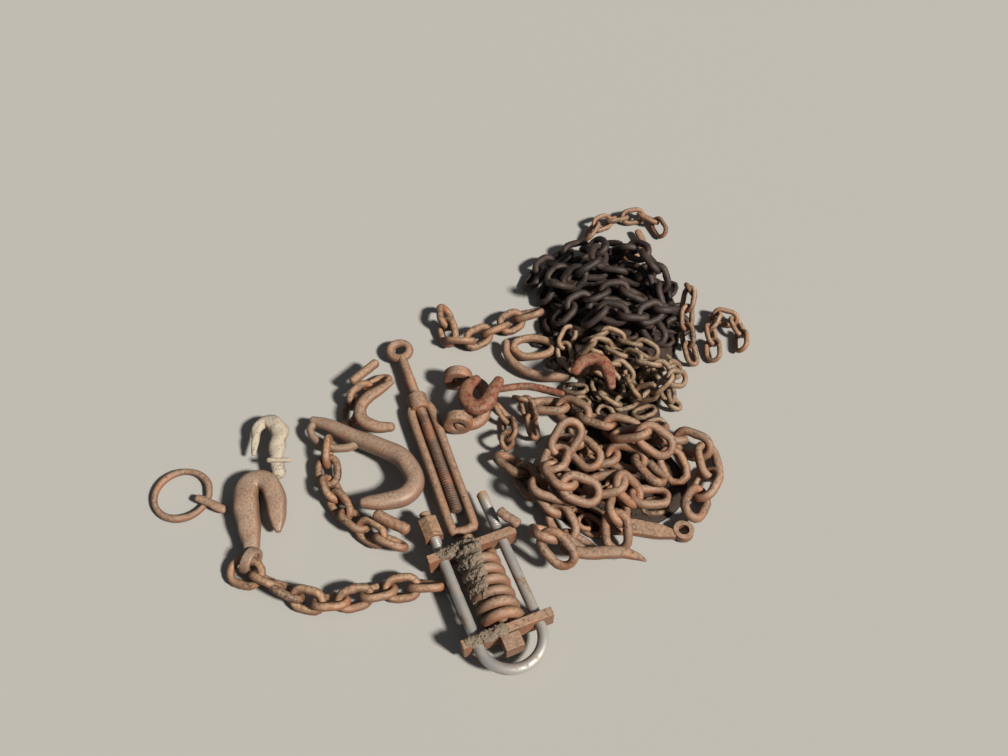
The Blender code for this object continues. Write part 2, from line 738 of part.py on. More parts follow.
CLEVIS_EYES = ((-10, 33), (-8, -37))
CLEVIS_EYE_RADIUS = 19.0
CLEVIS_EYE_WIDTH = 15.0
CLEVIS_EYE_HOLE = 7.5
CLEVIS_BOW = [(-10, 33), (10, 32), (24, 20), (28, -2), (24, -24), (12, -36), (-8, -37)]
CLEVIS_BAR = 7.5


def build_clevis(workshop, bed):
    """A clevis with its two eyes standing on edge."""
    bow = rod_mesh([(x, y, CLEVIS_EYE_RADIUS - 6, CLEVIS_BAR) for x, y in CLEVIS_BOW], count=16)
    eyes, holes = [], []
    for x, y in CLEVIS_EYES:
        across = pose(x, y, CLEVIS_EYE_RADIUS) @ ALONG_Y
        eyes.append(cylinder_mesh(CLEVIS_EYE_RADIUS * MM, CLEVIS_EYE_WIDTH * MM, 20, across))
        holes.append(cylinder_mesh(CLEVIS_EYE_HOLE * MM, 3 * CLEVIS_EYE_WIDTH * MM, 12, across))
    mesh = workshop.cut(workshop.union(bow, *eyes), *holes)
    settle(bed, [workshop.part("clevis", mesh, DUSTY_RUST)])


LEVER_OUTLINE = [(170, -168), (205, -169), (236, -176), (252, -184), (252, -193), (232, -193),
                 (205, -188), (170, -187)]
LEVER_THICK = 8.0
LEVER_EYE = (262, -184)
LEVER_EYE_RADIUS = 12.5
LEVER_EYE_HOLE = 6.5


def build_lever(workshop, bed):
    """The flat tapered bar with an eye at its narrow end."""
    outline = bpy.data.curves.new("outline", "CURVE")
    outline.dimensions = "2D"
    outline.fill_mode = "BOTH"
    outline.extrude = LEVER_THICK / 2 * MM
    spline = outline.splines.new("POLY")
    spline.points.add(len(LEVER_OUTLINE) - 1)
    for point, (x, y) in zip(spline.points, LEVER_OUTLINE):
        point.co = (x * MM, y * MM, 0.0, 1.0)
    spline.use_cyclic_u = True
    drawn = bpy.data.objects.new("outline", outline)
    bpy.context.scene.collection.objects.link(drawn)
    graph = bpy.context.evaluated_depsgraph_get()
    bar = bpy.data.meshes.new_from_object(drawn.evaluated_get(graph))
    bpy.data.objects.remove(drawn)
    bpy.data.curves.remove(outline)
    weld(bar)
    eye_at = pose(*LEVER_EYE)
    eye = cylinder_mesh(LEVER_EYE_RADIUS * MM, 1.3 * LEVER_THICK * MM, 16, eye_at)
    hole = cylinder_mesh(LEVER_EYE_HOLE * MM, 3 * LEVER_THICK * MM, 12, eye_at)
    mesh = workshop.cut(workshop.union(bar, eye), hole)
    place = pose(0, 0, LEVER_THICK)
    settle(bed, [workshop.part("lever_bar", mesh, DUSTY_RUST, place, smooth=False)])


SHACKLE_AT = (34, -266)
SHACKLE_HEADING = 22.0
LEG_APART = 72.0                 # between the middles of the U-bolt's legs
LEG_RADIUS = 6.35
LEG_REACH = 118.0                # from the middle of the spring back to the legs' ends
PLATE_LENGTH = 106.0
PLATE_HEIGHT = 25.0
PLATE_THICK = 10.0
SPRING_LENGTH = 98.0
SPRING_OUTSIDE = 52.0
SPRING_BAR = 12.2
SPRING_TURNS = 6
SPRING_POINTS = 10               # to a turn
TALL_NUT_ACROSS = 22.0
TALL_NUT_LENGTH = 27.0
TALL_NUT_AT = 95.0               # back from the middle of the spring
CENTRE_BOLT_RADIUS = 7.0
CENTRE_BOLT_HEAD = (22.0, 18.0, 20.0)
CENTRE_BOLT_END = 12.0           # past the rear plate


def build_u_bolt(workshop, place):
    """The zinc-plated U-bolt, from one leg's end round the bow to the other's."""
    half = LEG_APART / 2
    front = SPRING_LENGTH / 2 + PLATE_THICK + 1
    bow = [(half * math.cos(a), -front - half * math.sin(a)) for a in np.radians(range(0, 181, 18))]
    points = [(half, LEG_REACH), *bow, (-half, LEG_REACH)]
    mesh = rod_mesh([(x, y, 0, LEG_RADIUS) for x, y in points], bevel_resolution=2)
    return workshop.part("u_bolt", mesh, ZINC, place)


def build_plate(workshop, name, y, place):
    """One of the two plates, with holes for the legs and the centre bolt."""
    plate = box_mesh((PLATE_LENGTH * MM, PLATE_THICK * MM, PLATE_HEIGHT * MM), pose(0, y))
    holes = [(x, LEG_RADIUS) for x in (-LEG_APART / 2, LEG_APART / 2)] + [(0, CENTRE_BOLT_RADIUS)]
    tools = [cylinder_mesh(radius * MM + 2 * GAP, 3 * PLATE_THICK * MM, 12, pose(x, y) @ ALONG_Y)
             for x, radius in holes]
    return workshop.part(name, workshop.cut(plate, *tools), DUSTY_RUST, place, smooth=False)


def build_spring(workshop, place):
    """The coil spring between the plates."""
    radius = (SPRING_OUTSIDE - SPRING_BAR) / 2
    end = SPRING_LENGTH / 2 - SPRING_BAR / 2 - GAP / MM
    steps = np.arange(SPRING_TURNS * SPRING_POINTS + 1)
    angles = steps * 2 * math.pi / SPRING_POINTS
    along = np.linspace(-end, end, len(steps))
    points = np.column_stack([radius * np.cos(angles), along, radius * np.sin(angles),
                              np.full(len(steps), SPRING_BAR / 2)])
    return workshop.part("spring", rod_mesh(points), DUSTY_RUST, place)


def build_centre_bolt(workshop, place):
    """The bolt through the spring, with its square head at the front plate."""
    front = -SPRING_LENGTH / 2 - PLATE_THICK - GAP / MM
    back = SPRING_LENGTH / 2 + PLATE_THICK + CENTRE_BOLT_END
    width, depth, height = CENTRE_BOLT_HEAD
    head = box_mesh((width * MM, depth * MM, height * MM), pose(0, front - depth / 2))
    shank = cylinder_mesh(CENTRE_BOLT_RADIUS * MM, (back - front + depth / 2) * MM, 12,
                          pose(0, (back + front - depth / 2) / 2) @ ALONG_Y)
    return workshop.part("centre_bolt", workshop.union(head, shank), DUSTY_RUST, place, smooth=False)


def build_tall_nut(workshop, place):
    """The tall hexagon nut near the end of the U-bolt's left leg."""
    at = pose(-LEG_APART / 2, TALL_NUT_AT) @ ALONG_Y
    corner = TALL_NUT_ACROSS / math.sqrt(3)
    nut = cylinder_mesh(corner * MM, TALL_NUT_LENGTH * MM, 6, at)
    bore = cylinder_mesh(LEG_RADIUS * MM + GAP, 3 * TALL_NUT_LENGTH * MM, 12, at)
    return workshop.part("tall_nut", workshop.cut(nut, bore), RUST, place, smooth=False)


def build_shackle(workshop, bed):
    """The spring shackle: U-bolt, two plates, spring, centre bolt and nut."""
    place = pose(*SHACKLE_AT, SPRING_OUTSIDE / 2, SHACKLE_HEADING)
    away = (SPRING_LENGTH + PLATE_THICK) / 2
    items = [
        build_u_bolt(workshop, place),
        build_plate(workshop, "rear_plate", away, place),
        build_plate(workshop, "front_plate", -away, place),
        build_spring(workshop, place),
        build_centre_bolt(workshop, place),
        build_tall_nut(workshop, place),
    ]
    settle(bed, items)


RUNS = [
    Run("chain_to_left_hook", MEDIUM, RUST,
        [(-259, -234), (-240, -241), (-220, -252), (-196, -264), (-165, -277), (-129, -276), (-99, -266),
         (-70, -259), (-40, -258), (-8, -257)],
        first_size=END, first_rolls=(18, -66), start_height=10.5),
    Run("chain_under_big_hook", MEDIUM, RUST,
        [(-168, -65), (-167, -97), (-160, -128), (-146, -155), (-124, -176), (-96, -196), (-68, -208),
         (-48, -222)],
        first_rolls=(90, 8), start_height=18.5),
    Run("chain_over_big_hook", MEDIUM, RUST,
        [(-147, -27), (-146, -8), (-133, 12), (-114, 30), (-97, 50)]),
    Run("large_chain_right", LARGE, DUSTY_RUST,
        [(236, -60), (262, -58), (289, -63), (306, -92), (296, -126), (276, -150), (266, -182)], 38),
    Run("large_chain_left", LARGE, DUSTY_RUST,
        [(48, -84), (63, -99), (83, -126), (108, -156), (117, -182), (135, -203), (165, -226)], 36),
    Run("large_chain_loop", LARGE, DUSTY_RUST,
        [(150, -88), (186, -84), (216, -94), (236, -120), (234, -150)], 26),
    Run("large_chain_middle", LARGE, DUSTY_RUST,
        [(118, -56), (138, -74), (158, -102), (180, -134)], 20),
    Run("large_chain_cross", LARGE, DUSTY_RUST,
        [(134, -70), (114, -96), (107, -126), (126, -154), (168, -160)], 24),
    Run("large_chain_inner", LARGE, DUSTY_RUST,
        [(190, -66), (218, -72), (240, -86), (284, -100)], 20),
    Run("large_chain_top", LARGE, DUSTY_RUST,
        [(91, -4), (130, -10), (158, -34), (188, -44), (216, -54), (262, -56)], 38),
    Run("large_chain_low", LARGE, DUSTY_RUST,
        [(88, -142), (120, -150), (152, -142), (190, -138), (228, -148), (258, -124)], 12),
    Run("large_chain_drop", LARGE, DUSTY_RUST, [(188, -150), (180, -180), (184, -216)], 30),
    Run("large_chain_front", LARGE, DUSTY_RUST, [(94, -192), (101, -218), (124, -236), (152, -242)], 36),
    Run("chain_back_left", MEDIUM, RUST,
        [(-31, 154), (-28, 120), (-18, 96), (4, 98), (27, 113), (51, 127), (72, 145), (108, 150)]),
    Run("small_chain_left", SMALL, RUST, [(40, -10), (56, -30), (58, -54), (46, -78)]),
    Run("small_chain_next", SMALL, RUST, [(70, 4), (82, -20), (88, -46), (82, -74)]),
    Run("small_chain_back", SMALL, DIRTY_RUST, [(140, 108), (128, 84), (133, 60), (138, 22)]),
    Run("small_chain_upper", SMALL, DIRTY_RUST,
        [(150, 66), (188, 72), (208, 55), (228, 36), (252, 26), (265, -1), (255, -34)]),
    Run("small_chain_mid", SMALL, DIRTY_RUST,
        [(174, 38), (205, 24), (216, 2), (229, -16), (248, -4), (278, 8), (300, 22)]),
    Run("small_chain_ridge", SMALL, DIRTY_RUST, [(160, 92), (190, 96), (216, 84), (244, 66), (262, 56)]),
    Run("small_chain_slope", SMALL, DIRTY_RUST,
        [(176, 10), (198, -6), (224, 8), (240, 30), (262, 44), (288, 54), (306, 30)]),
    Run("small_chain_under", SMALL, DIRTY_RUST,
        [(148, 44), (172, 56), (192, 40), (214, 38), (236, 54), (262, 10), (284, -18)]),
    Run("doubled_chain", SMALL, RUST, [(306, 168), (296, 138), (297, 102), (302, 66), (300, 40)]),
    Run("doubled_chain_end", SMALL, RUST,
        [(330, 76), (331, 102), (332, 130), (346, 150), (366, 140), (372, 112), (368, 88)]),
    Run("back_chain", SMALL, RUST,
        [(172, 300), (196, 332), (220, 334), (242, 346), (270, 338), (282, 310)]),
    Run("dark_chain_one", SHADED, DARK_RUST,
        [(86, 205), (112, 242), (152, 264), (196, 258), (232, 228), (260, 186), (280, 140), (286, 110)]),
    Run("dark_chain_two", SHADED, DARK_RUST,
        [(118, 170), (150, 186), (178, 206), (184, 236), (170, 272)]),
    Run("dark_chain_three", SHADED, DARK_RUST,
        [(170, 128), (204, 134), (234, 124), (254, 100), (262, 72)]),
    Run("dark_chain_four", SHADED, DARK_RUST,
        [(122, 128), (156, 154), (196, 172), (232, 168), (262, 146)]),
    Run("dark_chain_five", SHADED, DARK_RUST,
        [(104, 176), (132, 214), (172, 214), (212, 210), (236, 196), (262, 220)]),
    Run("dark_chain_six", SHADED, DARK_RUST,
        [(160, 108), (190, 118), (216, 104), (242, 116), (266, 132), (292, 150)], 30),
]

ORDER = [  # from the floor up, after the core, the first chain and the left hook
    "chain_under_big_hook", "chain_over_big_hook", "lever", "large_chain_right", "large_chain_left",
    "large_chain_drop", "large_chain_low", "large_chain_loop", "dark_chain_five", "dark_chain_one",
    "dark_chain_two", "dark_chain_three", "dark_chain_four", "chain_back_left", "small_chain_under",
    "small_chain_ridge", "small_chain_slope", "dark_chain_six", "big_hook", "turnbuckle", "clevis",
    "large_chain_top", "large_chain_inner", "large_chain_middle", "small_chain_left",
    "small_chain_next", "red_hook", "straight_rod", "oblong_ring", "curved_rod", "large_chain_cross",
    "prong_bar", "large_chain_front", "small_chain_back", "small_chain_upper", "small_chain_mid",
    "arc_hook", "doubled_chain", "doubled_chain_end", "back_chain", "back_hook", "shackle",
    "broken_bar", "rod_stub", "crescent_hook", "short_link", "loose_ring", "ring_bar", "muddy_hook",
    "muddy_pin",
]


def centre_heap(workshop):
    """Move the whole heap so that the middle of its base is the origin."""
    bpy.context.view_layer.update()
    places = np.vstack([world_faces(item)[0] for item in workshop.parts.objects])
    middle = (places.min(axis=0) + places.max(axis=0)) / 2
    for item in workshop.parts.objects:
        item.matrix_world = Matrix.Translation((-middle[0], -middle[1], 0.0)) @ item.matrix_world


def build():
    """Lay the whole heap, from the pieces on the floor to those on top."""
    clear_scene()
    workshop = Workshop()
    bed = Bed()
    patterns = {}
    for size in (LARGE, MEDIUM, SMALL, END, SHADED):
        corner = size.wire / 2 * size.corner
        outline = link_outline(size)
        patterns[size] = tube_mesh(outline, [corner] * len(outline), True, size.bevel_resolution)
    runs = {run.name: run for run in RUNS}
    fittings = {"big_hook": build_big_hook, "turnbuckle": build_turnbuckle, "clevis": build_clevis,
                "lever": build_lever, "shackle": build_shackle}
    build_core(workshop, bed)
    first_chain = lay_run(workshop, bed, RUNS[0], patterns)
    build_left_hook(workshop, bed, first_chain[0])
    for name in ORDER:
        if name in runs:
            lay_run(workshop, bed, runs[name], patterns)
        elif name in BARS:
            build_bar(workshop, bed, name)
        else:
            fittings[name](workshop, bed)
    centre_heap(workshop)


build()
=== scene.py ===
"""The looks of a heap of used iron chain, with the hooks and fittings that lie in it.

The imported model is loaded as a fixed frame. Every length of chain is laid again along its
route, so that each link can be drawn as the round welded link that it is, and the links of
one length make one piece that stands for that length's node. Hooks, rings, rods, spring and
turnbuckle are surfaces carried along their own lines. Metres, +Z up; the sizes of the
fittings and the places on the plan are in millimetres.
"""

import json
import logging
import math
import random
from collections.abc import Sequence
from dataclasses import dataclass, field, replace
from enum import Enum
from functools import cache

import bmesh
import bpy
import numpy as np
from bpy.types import ID, Material, Mesh, Node, NodeSocket, NodeTree, Object
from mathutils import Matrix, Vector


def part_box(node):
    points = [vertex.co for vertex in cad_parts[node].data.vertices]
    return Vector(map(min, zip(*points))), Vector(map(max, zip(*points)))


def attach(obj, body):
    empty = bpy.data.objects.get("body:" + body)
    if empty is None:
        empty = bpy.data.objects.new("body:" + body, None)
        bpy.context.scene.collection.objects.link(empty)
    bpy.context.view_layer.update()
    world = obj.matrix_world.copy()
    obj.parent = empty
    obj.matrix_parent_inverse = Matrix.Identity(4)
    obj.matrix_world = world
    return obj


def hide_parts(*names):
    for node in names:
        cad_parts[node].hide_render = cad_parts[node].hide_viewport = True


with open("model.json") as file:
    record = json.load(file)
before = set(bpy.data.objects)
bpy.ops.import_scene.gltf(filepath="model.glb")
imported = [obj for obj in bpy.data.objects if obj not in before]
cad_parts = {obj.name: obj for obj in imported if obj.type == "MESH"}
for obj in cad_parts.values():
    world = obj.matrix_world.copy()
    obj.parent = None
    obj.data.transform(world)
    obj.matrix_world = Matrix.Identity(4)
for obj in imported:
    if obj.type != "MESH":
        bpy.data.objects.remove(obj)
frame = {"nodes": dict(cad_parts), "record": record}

LOG = logging.getLogger("chain_heap")
MM = 0.001

# How the chain is laid, the same as for the solids
GAP = 0.35 * MM              # left between pieces that touch
SETTLED = 0.02 * MM          # a piece that needs less lift than this is at rest
SWEEPS = 60                  # the most passes over a length of chain
STEEPEST = 0.75              # rise of a link as a share of its pitch
HELD_SHARE = 0.4             # a held first link is lifted this far along it, or further
ROUTE_STEP = 2.0 * MM        # spacing of the points on a smoothed route
SURFACE_STEP = 3.0 * MM      # spacing of the test points over a fitting
SURFACE_CELL = 0.6 * SURFACE_STEP    # room in which one test point is enough
SURFACE_BALL = 0.5 * MM      # radius of each test point
EDGE_SAMPLES = 3             # test points on each edge of a link
ON_FLOOR = 1.0 * MM          # a piece whose foot is lower than this stands on the floor
SEED = 11
ROLL_PLAY = 13.0             # degrees that each link's lean may differ

# A ring whose place on the plan is known tells where the plan's origin lies in the frame
RING_ON_PLAN = (-341.0, -133.0)      # millimetres
RING_RADIUS = 33.0           # to the middle of its bar

# How a bar's ends, a crumb and a flat-sided piece are drawn
FEWEST_RINGS = 6             # along a short bar
END_RINGS = 4                # rings on each rounded end
END_TURN = 0.94              # share of a quarter turn that they cover
CRUMB_RINGS = 3
CRUMB_SIDES = 6
CRUMB_UNEVEN = 0.42          # as a share of the crumb's radius
CRUMB_HEIGHT = 0.7           # against its width
MERGED = 0.002 * MM          # points closer than this become one
FLAT_DEGREES = 2             # faces that turn less than this become one
EDGE_DEGREES = 35            # faces that turn more than this meet in a worn edge
EDGE_FACES = 3               # faces across that edge


# Finishes


def linear(colour: str) -> tuple[float, float, float, float]:
    """Turn an sRGB hex colour to the linear values that a shader takes.

    Args:
        colour: The colour as "#rrggbb".

    Returns:
        Red, green, blue and an alpha of one.
    """
    parts = [int(colour[k:k + 2], 16) / 255 for k in (1, 3, 5)]
    red, green, blue = (p / 12.92 if p <= 0.04045 else ((p + 0.055) / 1.055)**2.4 for p in parts)
    return red, green, blue, 1.0


def add_node(tree: NodeTree, kind: str, inputs: dict | None = None,
             stops: Sequence[tuple[float, str]] = (), give: int | str = 0,
             **settings: object) -> NodeSocket:
    """Add a node to a tree with its settings, values and links.

    Args:
        tree: The material's node tree.
        kind: The node's type name, without "ShaderNode".
        inputs: A value, or another node's output, for each socket named or numbered.
        stops: Place and hex colour of each stop, for a colour ramp.
        give: The number or name of the output to give back.
        **settings: The node's own properties.

    Returns:
        That output of the new node.
    """
    node = tree.nodes.new("ShaderNode" + kind)
    for name, value in settings.items():
        setattr(node, name, value)
    for socket, value in (inputs or {}).items():
        if isinstance(value, NodeSocket):
            tree.links.new(value, node.inputs[socket])
        else:
            node.inputs[socket].default_value = value
    for k, (place, colour) in enumerate(stops):
        if k > 1:
            node.color_ramp.elements.new(place)
        node.color_ramp.elements[k].position = place
        node.color_ramp.elements[k].color = linear(colour)
    return node.outputs[give]


def make_object(name: str, data: ID) -> Object:
    """Make an object that shows a mesh, lamp or camera.

    Args:
        name: The object's name.
        data: What it shows.

    Returns:
        The object, linked to the scene.
    """
    item = bpy.data.objects.new(name, data)
    bpy.context.scene.collection.objects.link(item)
    return item


@dataclass(frozen=True)
class RustFinish:
    """Hot-rolled or forged iron that has rusted outdoors, with dust and soil on top.

    Its scale breaks the colour into blotches and grains from dark brown to tan, each link of a
    chain has its own tone, and pale dust, which is also a painted highlight, lies on what faces up.
    """

    name: str
    deep: str                    # pits and crevices
    body: str                    # the main brown
    light: str                   # rubbed and sun-bleached scale
    fresh: str                   # orange blooms of new rust
    dust: str                    # dry soil that lies on top, whose pale colour is also a painted highlight
    dusted: float = 0.5          # how much of the upper side the dust and its painted highlight cover
    bloomed: float = 0.35        # how strong the orange blooms are
    roughness: float = 0.66
    blotch: float = 16.0         # millimetres across
    grain: float = 3.6
    pit: float = 1.2
    relief: float = 0.55         # depth of the scale in millimetres

    def build(self) -> Material:
        """Make the material.

        Returns:
            A Principled BSDF material with procedural colour, roughness and bump.
        """
        material = bpy.data.materials.new(self.name)
        material.use_nodes = True
        tree = material.node_tree
        shader = tree.nodes["Principled BSDF"]
        place = add_node(tree, "TexCoord", give="Object")
        tone = add_node(tree, "Attribute", give="Fac", attribute_name="tone")
        rubbed = add_node(tree, "Attribute", give="Fac", attribute_name="rubbed")
        blotches, grains, pits = (
            add_node(tree, "TexNoise", {"Vector": place, "Scale": 1 / (size * MM), "Detail": detail,
                                        "Roughness": rough})
            for size, detail, rough in ((self.blotch, 4.0, 0.6), (self.grain, 5.0, 0.65),
                                        (self.pit, 3.0, 0.6)))
        # The scale's own colour, from blotches, grains and the piece's tone
        mixed = add_node(tree, "Math", {0: blotches, 1: 0.45, 2: 0.0}, operation="MULTIPLY_ADD")
        mixed = add_node(tree, "Math", {0: grains, 1: 0.55, 2: mixed}, operation="MULTIPLY_ADD")
        mixed = add_node(tree, "Math", {0: tone, 1: 0.09, 2: mixed}, operation="MULTIPLY_ADD")
        scale = add_node(tree, "ValToRGB", {"Fac": mixed},
                         [(0.35, self.deep), (0.62, self.light), (0.48, self.body)])
        # New rust blooms in patches and where links rub
        bloom = add_node(tree, "TexNoise", {"Vector": place, "Scale": 1 / (1.7 * self.blotch * MM),
                                            "Detail": 3.0, "Distortion": 0.6})
        bloom = add_node(tree, "MapRange", {"Value": bloom, "From Min": 0.48, "From Max": 0.66,
                                            "To Max": self.bloomed})
        rubbed = add_node(tree, "Math", {0: rubbed, 1: grains}, operation="MULTIPLY")
        bloom = add_node(tree, "Math", {0: bloom, 1: rubbed}, operation="ADD", use_clamp=True)
        scale = add_node(tree, "Mix", {0: bloom, 6: scale, 7: linear(self.fresh)}, give=2,
                         data_type="RGBA")
        # Pits are dark
        pitted = add_node(tree, "MapRange", {"Value": pits, "From Min": 0.22, "From Max": 0.4,
                                             "To Min": 0.6, "To Max": 1.0})
        scale = add_node(tree, "Mix", {0: pitted, 6: linear(self.deep), 7: scale}, give=2,
                         data_type="RGBA")
        # Dust lies in speckles on what faces up, more on lighter pieces; this pale top is also a painted
        # highlight
        upward = add_node(tree, "NewGeometry", give="Normal")
        upward = add_node(tree, "SeparateXYZ", {"Vector": upward}, give="Z")
        upward = add_node(tree, "MapRange", {"Value": upward, "From Min": 0.45, "From Max": 1.0,
                                             "To Max": self.dusted})
        speckle = add_node(tree, "MapRange", {"Value": grains, "From Min": 0.36, "From Max": 0.6,
                                              "To Min": 0.15, "To Max": 1.0})
        dusted = add_node(tree, "Math", {0: upward, 1: speckle}, operation="MULTIPLY")
        settled = add_node(tree, "Math", {0: tone, 1: 0.45, 2: 1.0}, operation="MULTIPLY_ADD")
        dusted = add_node(tree, "Math", {0: dusted, 1: settled}, operation="MULTIPLY")
        colour = add_node(tree, "Mix", {0: dusted, 6: scale, 7: linear(self.dust)}, give=2,
                          data_type="RGBA")
        tree.links.new(colour, shader.inputs["Base Color"])
        rough = add_node(tree, "MapRange", {"Value": grains, "From Min": 0.3, "From Max": 0.7,
                                            "To Min": self.roughness - 0.12,
                                            "To Max": min(self.roughness + 0.1, 1.0)})
        tree.links.new(rough, shader.inputs["Roughness"])
        height = add_node(tree, "Math", {0: pits, 1: 0.35, 2: grains}, operation="MULTIPLY_ADD")
        bump = add_node(tree, "Bump", {"Height": height, "Strength": 0.75, "Distance": self.relief * MM})
        tree.links.new(bump, shader.inputs["Normal"])
        self.overlay(tree, shader, place, grains)
        return material

    def overlay(self, tree: NodeTree, shader: Node,
                place: NodeSocket, grains: NodeSocket) -> None:
        """Put nothing over the rust; a coated finish adds its coat here."""


@dataclass(frozen=True)
class PaintedFinish(RustFinish):
    """Red-brown oil paint, dull and chipped, over rusted iron that shows through."""

    paint: str = "#5c281d"
    faded: str = "#804634"
    worn: float = 0.5            # share of the paint that has come off
    chip: float = 7.0            # millimetres across

    def overlay(self, tree: NodeTree, shader: Node,
                place: NodeSocket, grains: NodeSocket) -> None:
        """Lay the paint over the rust, with chips.

        Args:
            tree: The material's node tree.
            shader: Its Principled BSDF, whose colour so far shows in the chips.
            place: Object coordinates.
            grains: The grain pattern, which breaks the chips' edges.
        """
        below = shader.inputs["Base Color"].links[0].from_socket
        chips = add_node(tree, "TexNoise", {"Vector": place, "Scale": 1 / (self.chip * MM),
                                            "Detail": 6.0, "Roughness": 0.62})
        kept = add_node(tree, "MapRange", {"Value": chips, "From Min": self.worn,
                                           "From Max": self.worn + 0.05})
        coat = add_node(tree, "ValToRGB", {"Fac": grains}, [(0.35, self.paint), (0.68, self.faded)])
        colour = add_node(tree, "Mix", {0: kept, 6: below, 7: coat}, give=2, data_type="RGBA")
        tree.links.new(colour, shader.inputs["Base Color"])


@dataclass(frozen=True)
class ZincFinish(RustFinish):
    """Zinc-plated steel rod: a dull silver sheen with brown stains where soil has dried on."""

    bright: str = "#a5a39f"
    metallic: float = 0.5        # the plating has dulled to an oxide skin
    stained: float = 0.64        # noise above this is stained
    stain: float = 22.0          # millimetres across
    dull: float = 0.85           # roughness of the stains
    sheen: float = 0.44          # roughness of the plating

    def overlay(self, tree: NodeTree, shader: Node,
                place: NodeSocket, grains: NodeSocket) -> None:
        """Lay the plating over the rust, which is left to show as stains.

        Args:
            tree: The material's node tree.
            shader: Its Principled BSDF.
            place: Object coordinates.
            grains: The grain pattern, which breaks the stains' edges.
        """
        below = shader.inputs["Base Color"].links[0].from_socket
        stains = add_node(tree, "TexNoise", {"Vector": place, "Scale": 1 / (self.stain * MM),
                                             "Detail": 6.0, "Roughness": 0.7})
        unstained_or_unshaded = add_node(tree, "MapRange", {"Value": stains, "From Min": self.stained,
                                            "From Max": self.stained - 0.16})
        rusted = add_node(tree, "Attribute", give="Fac", attribute_name="rubbed")
        unstained_or_unshaded = add_node(tree, "Math", {0: unstained_or_unshaded, 1: rusted}, operation="SUBTRACT", use_clamp=True)
        colour = add_node(tree, "Mix", {0: unstained_or_unshaded, 6: below, 7: linear(self.bright)}, give=2,
                          data_type="RGBA")
        tree.links.new(colour, shader.inputs["Base Color"])
        metal = add_node(tree, "Math", {0: unstained_or_unshaded, 1: self.metallic}, operation="MULTIPLY")
        tree.links.new(metal, shader.inputs["Metallic"])
        rough = add_node(tree, "MapRange", {"Value": unstained_or_unshaded, "To Min": self.dull, "To Max": self.sheen})
        tree.links.new(rough, shader.inputs["Roughness"])


class Finish(Enum):
    """The finishes of the heap, by the names that the record's material slots have."""

    # Chain iron: brown scale with orange where links rub, so that each link reads on its own
    RUST = RustFinish("rusted_chain_iron", "#38251b", "#6a4a37", "#a07d5e", "#965b38", "#c4a888",
                      dusted=0.45)
    # Large chain, rods and plates: paler and greyer, since dry dust covers what faces up, and that pale
    # top is also a painted highlight
    DUSTY_RUST = RustFinish("dusty_rusted_iron", "#4c372b", "#6c4c39", "#9c785b", "#915635", "#c2aa90",
                            dusted=0.4, bloomed=0.4)
    # Small chain: yellowish earth dulls the rust, which sets it off from the large chain
    DIRTY_RUST = RustFinish("earthy_rusted_iron", "#35271c", "#685140", "#a08868", "#87593a", "#c8b292",
                            dusted=0.4, bloomed=0.35)
    # Chain at the back: rust painted nearly black, a painted shadow that gives the heap its dark depth
    DARK_RUST = RustFinish("dark_rusted_iron", "#0f0b09", "#2a1f1a", "#453429", "#42261a", "#55443a",
                           dusted=0.16, bloomed=0.3)
    # Forged hooks: smooth brown scale with a soft sheen along the bends
    FORGED_BROWN = RustFinish("forged_hook_iron", "#5a4435", "#735746", "#9d826a", "#85573f", "#c6b29c",
                              dusted=0.36, bloomed=0.3, grain=2.6, relief=0.3, roughness=0.5)
    # Two hooks and a rod: dull red paint, chipped, the only red in the heap
    RED_PAINT = PaintedFinish("chipped_red_paint", "#2c1b12", "#704a34", "#9c7354", "#9c5b38", "#b69776",
                              dusted=0.22)
    # Mud dried on iron: rough light grey-brown without sheen
    GREY_MUD = RustFinish("dried_mud", "#564a3f", "#9a8d7b", "#c4b8a4", "#917f69", "#d1c6b3",
                          dusted=0.4, bloomed=0.15, grain=2.6, pit=0.9, relief=0.9, roughness=0.95)
    # Mud on the shackle: browner, with dark gaps between its crumbs
    CRUMBLED_MUD = RustFinish("crumbled_mud", "#2a2018", "#6a5c4d", "#968570", "#705a45", "#a29280",
                              dusted=0.35, bloomed=0.15, grain=2.0, pit=0.7, relief=0.9, roughness=0.95)
    # U-bolt: dull silver plating, the one bright metal, with brown stains and bare ends
    ZINC = ZincFinish("zinc_plated_steel", "#43342a", "#7b654f", "#a69078", "#8b6744", "#bbae9b",
                      dusted=0.2, grain=2.2, relief=0.1)
    # The mound that shows between the lengths: dark earth and flakes of rust, near black also as painted
    # shade between the lengths
    SOIL = RustFinish("rusty_soil", "#0e0a08", "#2a1f18", "#463629", "#3c281b", "#54463a",
                      dusted=0.2, bloomed=0.2, blotch=11.0, grain=4.0, relief=1.2, roughness=0.95)


@cache
def material_of(finish: Finish) -> Material:
    """Give a finish's material, made on first use."""
    return finish.value.build()


# Surfaces


